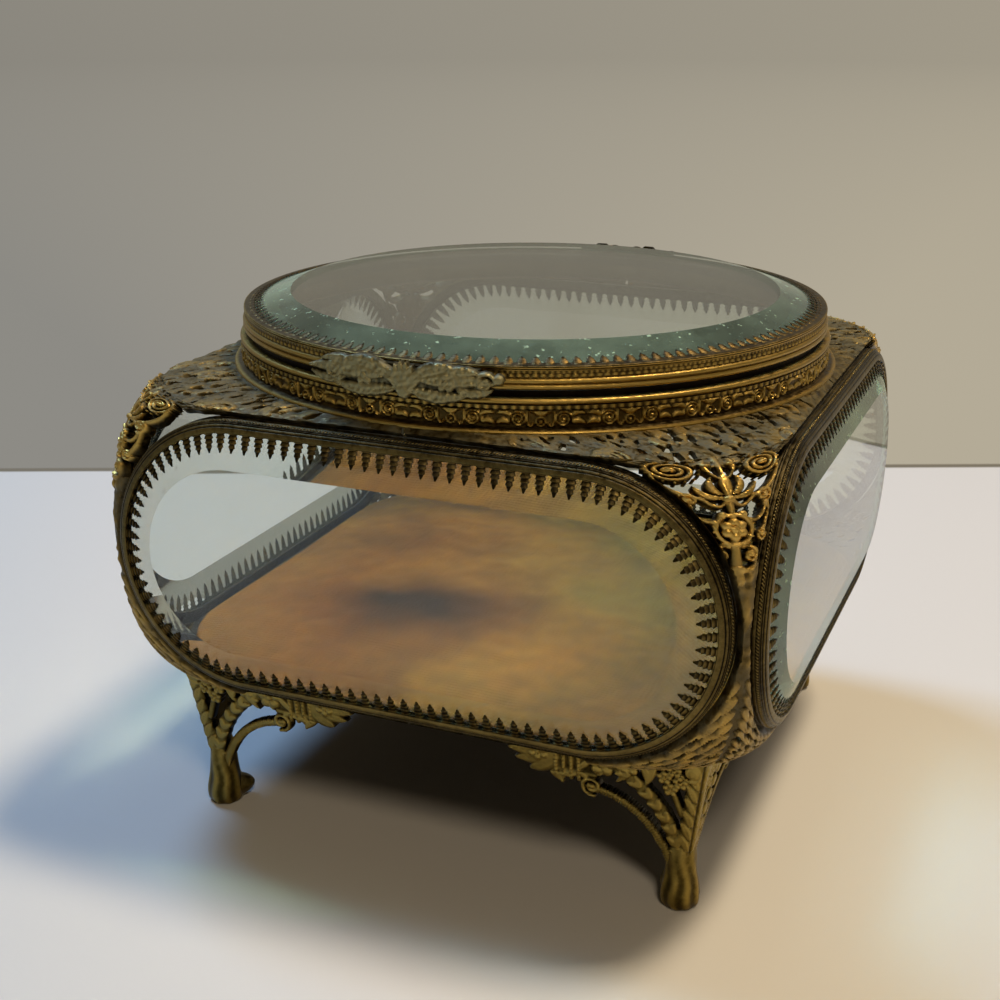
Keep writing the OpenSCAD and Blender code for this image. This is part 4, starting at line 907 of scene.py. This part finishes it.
def drawWing():
    c = newCanvas(*legLook["canvas"], legLook["step"])
    stroke(c, [(21, 35.0), (60, 35.0)], 2.3, 0.35)
    # stem down the corner, with grooved leaves on each side of it
    stem = np.array([(58.0, 36), (57.6, 30), (56.8, 23), (55.8, 16), (54.8, 10), (54.4, 5), (54.2, 2)])
    stroke(c, stem, [3.6, 3.6, 3.4, 3.6, 4.2, 4.4, 4.4], 0.45, groove=0.2)
    for h in np.arange(7, 33, 3.1):
        at = float(np.interp(h, stem[::-1, 1], stem[::-1, 0]))
        leaf(c, curve((at + 0.6, h), (at + 0.2, h + 2.2), (at - 1.3, h + 4.2), count=8), 2.0, 0.8, 0.35)
    # a cluster of buds between the two stems
    for bud in ((52.6, 27.6), (54.6, 29.6), (51.4, 30.2), (53.4, 32.2), (50.6, 33.4)):
        blossom(c, *bud, 1.75, 5, 0.75)
    stroke(c, curve((54.8, 22), (53.8, 25), (52.8, 28), count=8), 1.5, 0.5)
    disc(c, 57.3, 32.6, 1.9, 0.95)
    stroke(c, spiral(57.0, 32.4, 2.2, 0.6, 200, 1.4, 1, 18), 0.9, 0.8)
    # outer rod with leaves on both sides, and the rope rod under it with a curled head
    outer = curve((54.6, 8.5), (53.8, 19), (49.2, 26.5), (40.3, 31.2), count=46)
    stroke(c, outer, 3.1, 0.4)
    for k in range(3, 42, 5):
        side = outer[k + 3] - outer[k]
        side = side[::-1] * (1, -1) / np.hypot(*side)
        for hand in (-1, 1):
            tip = outer[k + 4] + hand * side * 1.5
            leaf(c, curve(outer[k], outer[k + 2] + hand * side * 0.5, tip, count=8), 1.6, 0.8, 0.3)
    rope = curve((53.0, 8.0), (51.2, 15.5), (45.5, 23.6), (36.6, 24.2), count=44)
    stroke(c, rope, 1.7, 0.5)
    for k in range(1, 44):
        across = (rope[k] - rope[k - 1])[::-1] * (1, -1)
        across = across / np.hypot(*across)
        stroke(c, [rope[k] - across * 0.85, rope[k] + across * 0.85], 0.38, 0.85)
    stroke(c, spiral(36.4, 24.6, 2.3, 0.6, -80, 1.4, -1, 20), 1.0, 0.7)
    disc(c, 36.4, 24.7, 0.8, 0.95)
    # leaf sprays and blossoms along the top
    for x0, y0, x1, y1, w in [(48, 28, 46.2, 34.2, 1.9), (44.6, 30.2, 41.4, 26.8, 1.6),
                              (47.5, 27.5, 49.6, 33.6, 1.6), (40.5, 31.6, 37.6, 27.2, 1.6),
                              (33.4, 28, 36.6, 31.5, 1.6), (33.6, 27.6, 35.4, 25.4, 1.4),
                              (41.0, 31.5, 43.0, 28.6, 1.3), (27.6, 26.4, 30.4, 24.0, 1.6),
                              (28.6, 25.8, 33.6, 26.6, 1.5)]:
        leaf(c, curve((x0, y0), ((x0 + x1) / 2 + 0.8, (y0 + y1) / 2 + 0.5), (x1, y1)), w, 0.7)
    blossom(c, 38.6, 30.4, 3.0, 5, 0.85)
    blossom(c, 44.2, 31.4, 2.5, 5, 0.85)
    # beaded bars across the wing
    stroke(c, [(28, 27.2), (37, 27.2)], 1.3, 0.4)
    stroke(c, [(28.6, 30), (34.0, 30)], 7.6, 0.15)
    for x in (28.9, 30.5, 32.1, 33.7):
        stroke(c, [(x, 25.6), (x, 34.6)], 1.15, 0.6)
        for h in np.arange(26.2, 34.4, 0.9):
            disc(c, x, h, 0.42, 0.85)
    # the bud at the wing's tip: long leaves from the bars to a point, under a blossom
    for tip in ((19.4, 34.6), (18.2, 32.6), (18.4, 30.4), (20.0, 28.2), (23.2, 26.2)):
        middle = ((tip[0] + 29) / 2, (tip[1] + 30) / 2 + 0.25 * (tip[1] - 31))
        leaf(c, curve((29.4, 30.2), middle, tip), 3.4, 0.6, 0.35)
    blossom(c, 25.2, 30.6, 2.3, 6, 0.9)
    # cut along the corner, where the other wing meets it, and along the top
    corner = legLook["drawnAt"] - (legLook["top"] - c["y"]) * math.sin(math.radians(legLook["lean"]))
    c["metal"] = np.minimum.reduce([c["metal"], corner - 0.02 - c["x"], 36.05 - c["y"]])
    c["rise"] = c["rise"].clip(0, 0.9)
    return c


def legFoot():
    # Rings of radius r (1 + 0.035 cos(8 t + h / 4 + sin 0.7 h)) from the sole up the ankle: a fluted boot
    # of leaves, whose flutes run out at both ends.
    height = np.array([0, 0.25, 1.0, 2.2, 3.8, 5.4, 7.0, 8.8, 11.0, 13.5, 16.5])[:, None]
    radius = np.array([2.5, 3.3, 3.8, 3.95, 3.85, 3.6, 3.3, 3.1, 3.0, 2.8, 1.9])[:, None]
    t = np.linspace(0, twoPi, 90, endpoint=False)[None]
    fade = np.sin(np.linspace(0.12, 1, 11) * math.pi)[:, None]
    flute = 1 + 0.035 * np.cos(8 * t + height / 4 + np.sin(height * 0.7)) * fade
    x, y = legLook["footAt"] + radius * flute * np.cos(t), -legLook["footAt"] + radius * flute * np.sin(t)
    points, faces = closedTube(np.stack([x, y, height + 0 * x], -1))
    return points, faces, np.concatenate([((flute - 1) / 0.11 + 0.5).ravel(), [0, 0]]).clip(0, 1)


def scrollToe():
    # A round-ended roll from the foot in towards the middle of the casket: rings of radius
    # toe sqrt(1 - (s / length)^2).
    far, at = legLook["toeLength"], legLook["footAt"]
    s = np.concatenate([[-0.5], (far - 0.05) * np.sin(np.linspace(0, 1, 11) * math.pi / 2)])[:, None]
    t = np.linspace(0, twoPi, 24, endpoint=False)[None]
    r = legLook["toe"] * np.sqrt(1 - (s / far) ** 2) * (1 + 0.05 * np.cos(6 * t))
    side, up = r * np.cos(t), 3.05 + r * np.sin(t)
    points = np.stack([at + (side - s) / math.sqrt(2), -at + (side + s) / math.sqrt(2), up], -1)
    return (*closedTube(points), 0.35)


def plate(outline, z0, z1):
    # An outline as a flat plate from z0 to z1.
    outline = np.asarray(outline, float)
    return closedTube(np.stack([np.column_stack([outline, np.full(len(outline), z)]) for z in (z0, z1)]))


wing = cutSheet(drawWing(), wingSurface, legLook["thickness"])
otherWing = wing[0][:, [1, 0, 2]] * (-1, -1, 1)        # the other wing: x and y change places
w = legLook["wingY"]
gusset = plate([(32, -w + 0.8), (w - 2, -w + 0.8), (w - 0.8, -w + 2), (w - 0.8, -32)], 34.95, 36.1)
boss = plate(arc(48, -48, 6.9, 0, 350, 36), 34.95, 37.1)
legParts = [wing, (otherWing, *wing[1:]), legFoot(), scrollToe(), (*gusset, 0.2), (*boss, 0.3)]
for i, where in enumerate(cornerNames):
    parts = [(turned(p[0], i), *p[1:]) for p in legParts]
    makePiece("scrolledLeg_" + where, parts, [finish["leg"]], "casket", "leg_" + where)
print("legs ready:", len(wing[1]), "faces each wing")


# Thumb piece: a leafy casting in front of the lid band. Its leaves are given for the right wing, by control
# points from its middle, width, rise and groove; the left wing mirrors them, drawn out to leftStretch.
thumbLook = {"canvas": (-24.0, 19.4, 102.0, 111.0), "step": 0.2, "middle": 106.4, "top": 110.4, "back": 65.2,
             "thickness": 0.8, "leftStretch": 1.25, "strip": (63.5, 65.3, 14, 105.6, 109.1),
             "leaves": [(((0, -1), (4, 2.6), (7.5, 3.6), (11, 2.2)), 2.6, 0.8, 0.3),
                        (((1, -1.5), (5, -2.8), (9, -3.2), (13, -1.6)), 2.5, 0.8, 0.3),
                        (((3, 0.4), (8, 0.6), (13, 1.2), (17.6, 0.2)), 3.0, 0.9, 0.3),
                        (((6, 0.6), (9, 2.6), (12.5, 3.0), (14.8, 1.9)), 1.8, 0.8, 0.2),
                        (((10, -0.8), (13, -2.2), (15.5, -1.6), (17, -0.6)), 1.8, 0.7, 0.2)]}


def thumbSurface(x, y, level):
    # x along the lid's band, anticlockwise from the front's middle, and y up, laid round the casket.
    back = thumbLook["back"]
    return ringPoints(back + thumbLook["thickness"] * (1 - level), x / back - math.pi / 2, y)


def drawThumb():
    c = newCanvas(*thumbLook["canvas"], thumbLook["step"])
    mid = thumbLook["middle"]
    for hand, stretch in ((-1, -thumbLook["leftStretch"]), (1, 1)):
        for corners, width, rise, groove in thumbLook["leaves"]:
            leaf(c, curve(*corners, hand=stretch, up=mid), width, rise, groove)
        stroke(c, spiral(hand * 15.4, mid + 0.6, 1.9, 0.5, 0, 1.3, hand, 18), 0.9, 0.9)
        blossom(c, hand * 8.2, mid + 0.2, 2.0, 5, 1.0)
    # a fan of leaves round a bead in the middle
    for t in np.radians(np.arange(20, 161, 20)):
        x, y = math.cos(t), math.sin(t)
        leaf(c, curve((0, -2.2), (2.2 * x, 2.2 * y - 0.5), (3.6 * x, 5.0 * y - 1.4), up=mid), 1.7, 0.9, 0.3)
    disc(c, 0, mid - 2.0, 1.6, 1.1)
    stroke(c, [(-14, mid), (14, mid)], 2.4, 0.25)
    disc(c, 18.0, 107.6, 1.05, 1.1)
    c["metal"] = np.minimum(c["metal"], thumbLook["top"] + 0.25 * lumps(c["x"], c["y"], 2, 8) - c["y"])
    c["rise"] += np.where(c["metal"] > 0, 0.15 * lumps(c["x"], c["y"], 1.6, 9), 0)
    c["rise"] = c["rise"].clip(0, 0.95)
    return c


def thumbStrip():
    # The strip behind the leaves: a short piece of band between two radii and two heights.
    inner, outer, half, low, high = thumbLook["strip"]
    t = np.linspace(-half, half, 24)[:, None] / inner - math.pi / 2
    r, z = np.array([[inner, outer, outer, inner]]), np.array([[low, low, high, high]])
    return closedTube(ringPoints(r, t, z))


thumbSheet = cutSheet(drawThumb(), thumbSurface, thumbLook["thickness"])
makePiece("leafyThumbPiece", [(*thumbSheet[:3], 0.3), (*thumbStrip(), 0.1)], [finish["thumb"]], "lid",
          "thumb_piece")
print("thumb piece ready")


# Pad of stained silk over wadding, with its edge rolled under
padLook = {"half": 64.0, "cornerRadius": 28.2, "base": 38.4, "edge": 1.5, "crown": 1.6, "rows": 60,
           "columns": 320, "fill": 0.55}


def padReach(a):
    # Distance from the middle to the edge of a square with round corners, at angle a.
    m = np.maximum(np.abs(np.cos(a)), np.abs(np.sin(a)))
    n = np.minimum(np.abs(np.cos(a)), np.abs(np.sin(a)))
    h, r = padLook["half"], padLook["cornerRadius"]
    c = (h - r) * (m + n)
    return np.where(h * n / m <= h - r, h / m, c + np.sqrt((c * c - 2 * (h - r) ** 2 + r * r).clip(0)))


def padPoints():
    # Rings from the middle of the underside, round the rolled edge, to the crown: height = edge + crown (1
    # - f^3), with the sides drawn in between the corners, a seam near the edge and soft puckers along it.
    look = padLook
    a = np.linspace(0, twoPi, look["columns"], endpoint=False)[None]
    under = np.linspace(0.05, 0.96, 8)
    roll = np.radians(np.linspace(-80, 90, 9))
    top = np.linspace(0.97, 0.02, look["rows"])
    f = np.concatenate([under, 0.975 + 0.012 * np.cos(roll), top])[:, None]
    lift = np.concatenate([0 * under, look["edge"] * (0.5 + 0.5 * np.sin(roll)),
                           look["edge"] * 0.92 + look["crown"] * (1 - top ** 3)])[:, None]
    upper = lift > 0.5
    r = padReach(a) * f - 0.7 * np.cos(2 * a) ** 2
    x, y = r * np.cos(a), r * np.sin(a)
    pucker = 0.35 * np.cos(46 * a + 3 * np.sin(5 * a)) + 0.25 * np.cos(83 * a + 1)
    pucker = np.exp(-((f - 0.93) / 0.05) ** 2) * upper * pucker * 0.22
    seam = -0.45 * np.exp(-((f - 0.945) / 0.008) ** 2) * upper
    soft = 0.5 * lumps(x, y, 26, 11) + 0.22 * lumps(x, y, 9, 12)
    z = look["base"] + lift + pucker + seam + soft * upper * (1 - f).clip(0, 0.4) / 0.4
    return closedTube(np.stack([x, y, z], -1))


pad = makePiece("silkPad", [padPoints()], [finish["silk"]], "casket", "pad", angle=60)
print("pad ready")

# Materials of the solids that stay
for name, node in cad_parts.items():
    if node.hide_render:
        continue
    kind = ("bright" if "rivet" in name or name == "hinge_pin" else
            "dark" if name in ("seat_ring", "base_plate", "pad_board") else "filigree")
    node.data.materials.clear()
    node.data.materials.append(finish[kind])


# Stage: a pale floor with a painted bluish cast of cool light on the left, that turns into the backdrop's
# grey past a thin painted shadow line behind the casket. The backdrop is painted with light, brighter and
# warmer on the right and darker further off. Its places are in metres.
stageLook = {"floor": "#dddad5", "paintedCoolLightColour": "#b9c6cf", "line": "#77705f", "left": "#8d8b85", "right": "#b4ab97",
             "far": "#77736a", "lineAt": (-0.089, 0.194), "lineTurn": 23.6, "paintedCoolLightWay": (-0.8, -0.6, 0.0),
             "reach": 14.0}


def seenBy(tree):
    # 1 for rays of the camera and for those that metal and glass send on, else 0.
    ray = addNode(tree, "LightPath").outputs
    seen = addNode(tree, "Math", larger, _0=ray["Is Camera Ray"], _1=ray["Is Glossy Ray"])
    return addNode(tree, "Math", larger, _0=seen, _1=ray["Is Transmission Ray"])


mesh = bpy.data.meshes.new("paleFloor")
r = stageLook["reach"]
mesh.from_pydata([(-r, -r, 0), (r, -r, 0), (r, r, 0), (-r, r, 0)], [], [(0, 1, 2, 3)])
floor = bpy.data.objects.new("paleFloor", mesh)
bpy.context.scene.collection.objects.link(floor)
material, tree = newMaterial("PaleFloorPaint")
paints = {key: linear(stageLook[key]) for key in ("floor", "paintedCoolLightColour", "line", "left", "right", "far")}
here = addNode(tree, "TexCoord").outputs["Object"]
slope = math.radians(stageLook["lineTurn"])
along, across = (math.cos(slope), math.sin(slope), 0.0), (-math.sin(slope), math.cos(slope), 0.0)
line = sum(a * b for a, b in zip(stageLook["lineAt"], across))
past = addNode(tree, "VectorMath", dot, _0=here, _1=across)
# painted cool light: a bluish cast laid on the floor colour towards the front left, where only the cool lamp
# would light it
paintedCoolLight = addNode(tree, "VectorMath", dot, _0=here, _1=stageLook["paintedCoolLightWay"])
paintedCoolLight = addNode(tree, "MapRange", _0=paintedCoolLight, _1=0.05, _2=0.28)
paint = addNode(tree, "Mix", mixColours, _0=paintedCoolLight, _6=paints["floor"], _7=paints["paintedCoolLightColour"])
# a painted shadow: the thin dark line of the shadowed gap between the floor's far edge and the backdrop
paintedShadowLine = addNode(tree, "MapRange", _0=past, _1=line - 0.003, _2=line - 0.001)
paint = addNode(tree, "Mix", mixColours, _0=paintedShadowLine, _6=paint, _7=paints["line"])
# painted light on the backdrop: darker and greyer on the left, brighter and warmer on the right where the
# warm lamp lights it, and painted shade that darkens it further off
towards = addNode(tree, "VectorMath", {"operation": "NORMALIZE"}, _0=here)
side = addNode(tree, "VectorMath", dot, _0=towards, _1=along)
side = addNode(tree, "MapRange", _0=side, _1=-0.45, _2=0.4)
wall = addNode(tree, "Mix", mixColours, _0=side, _6=paints["left"], _7=paints["right"])
away = addNode(tree, "VectorMath", {"operation": "LENGTH"}, _0=here)
away = addNode(tree, "MapRange", _0=away, _1=0.35, _2=3.0, _3=0.0, _4=0.35)
wall = addNode(tree, "Mix", mixColours, _0=away, _6=wall, _7=paints["far"])
painted = addNode(tree, "BsdfPrincipled", Base_Color=paint, Roughness=0.75)
glow = addNode(tree, "Emission", Color=wall, Strength=1.0)
beyond = addNode(tree, "MapRange", _0=past, _1=line + 0.001, _2=line + 0.003)
share = addNode(tree, "Math", multiply, _0=beyond, _1=seenBy(tree))
both = addNode(tree, "MixShader", _0=share, _1=painted, _2=glow)
addNode(tree, "OutputMaterial", Surface=both)
mesh.materials.append(material)
print("stage ready")

# Camera, placed by the picture's own perspective
cameraLook = {"place": (0.12097, -0.31019, 0.17799), "right": (0.9229903, 0.38482246, 0.00075484),
              "up": (-0.12761509, 0.30423097, 0.94401161), "back": (0.36304722, -0.87140989, 0.32991139),
              "lens": 54.728}
camera = bpy.data.objects.new("camera", bpy.data.cameras.new("camera"))
bpy.context.scene.collection.objects.link(camera)
turn = Matrix([cameraLook["right"], cameraLook["up"], cameraLook["back"]]).transposed().to_4x4()
camera.matrix_world = Matrix.Translation(cameraLook["place"]) @ turn
camera.data.lens = cameraLook["lens"]
camera.data.sensor_width = 36
camera.data.clip_start = 0.01
bpy.context.scene.camera = camera

# Light: a warm key from behind on the right, a cool one from the left, and a weak warm fill from the front;
# each with its place and size in metres, its power in watts and its colour
lampLook = [("warmKey", (0.45, 0.24, 1.4), 0.24, 15.0, "#ffe9c6"),
            ("coolKey", (-0.62, 0.24, 1.25), 0.4, 11.0, "#a3cdff"),
            ("frontFill", (0.5, -0.75, 0.95), 0.22, 3.2, "#ffe9c9")]
for name, place, size, power, code in lampLook:
    lamp = bpy.data.lights.new(name, "AREA")
    lamp.size, lamp.energy, lamp.color = size, power, linear(code)[:3]
    holder = bpy.data.objects.new(name, lamp)
    bpy.context.scene.collection.objects.link(holder)
    aim = Vector(place).normalized().to_track_quat("Z", "Y")
    holder.matrix_world = Matrix.Translation(place) @ aim.to_matrix().to_4x4()

# World: what is seen of it is a warm grey that darkens upwards, and what lights the casket is much weaker
worldLook = {"low": "#a69f8f", "high": "#5c5648", "fill": "#8d7b60", "fillStrength": 0.13}
world = bpy.data.worlds.new("studio")
bpy.context.scene.world = world
world.use_nodes = True
tree = world.node_tree
tree.nodes.clear()
way = addNode(tree, "TexCoord").outputs["Generated"]
up = addNode(tree, "SeparateXYZ", Vector=way).outputs["Z"]
up = addNode(tree, "MapRange", _0=up, _1=0.0, _2=0.75)
dome = addNode(tree, "Mix", mixColours, _0=up, _6=linear(worldLook["low"]), _7=linear(worldLook["high"]))
seenSky = addNode(tree, "Background", Color=dome, Strength=1.0)
fillSky = addNode(tree, "Background", Color=linear(worldLook["fill"]), Strength=worldLook["fillStrength"])
sky = addNode(tree, "MixShader", _0=seenBy(tree), _1=fillSky, _2=seenSky)
addNode(tree, "OutputWorld", Surface=sky)
bpy.context.scene.view_settings.view_transform = "Standard"

print("scene ready")
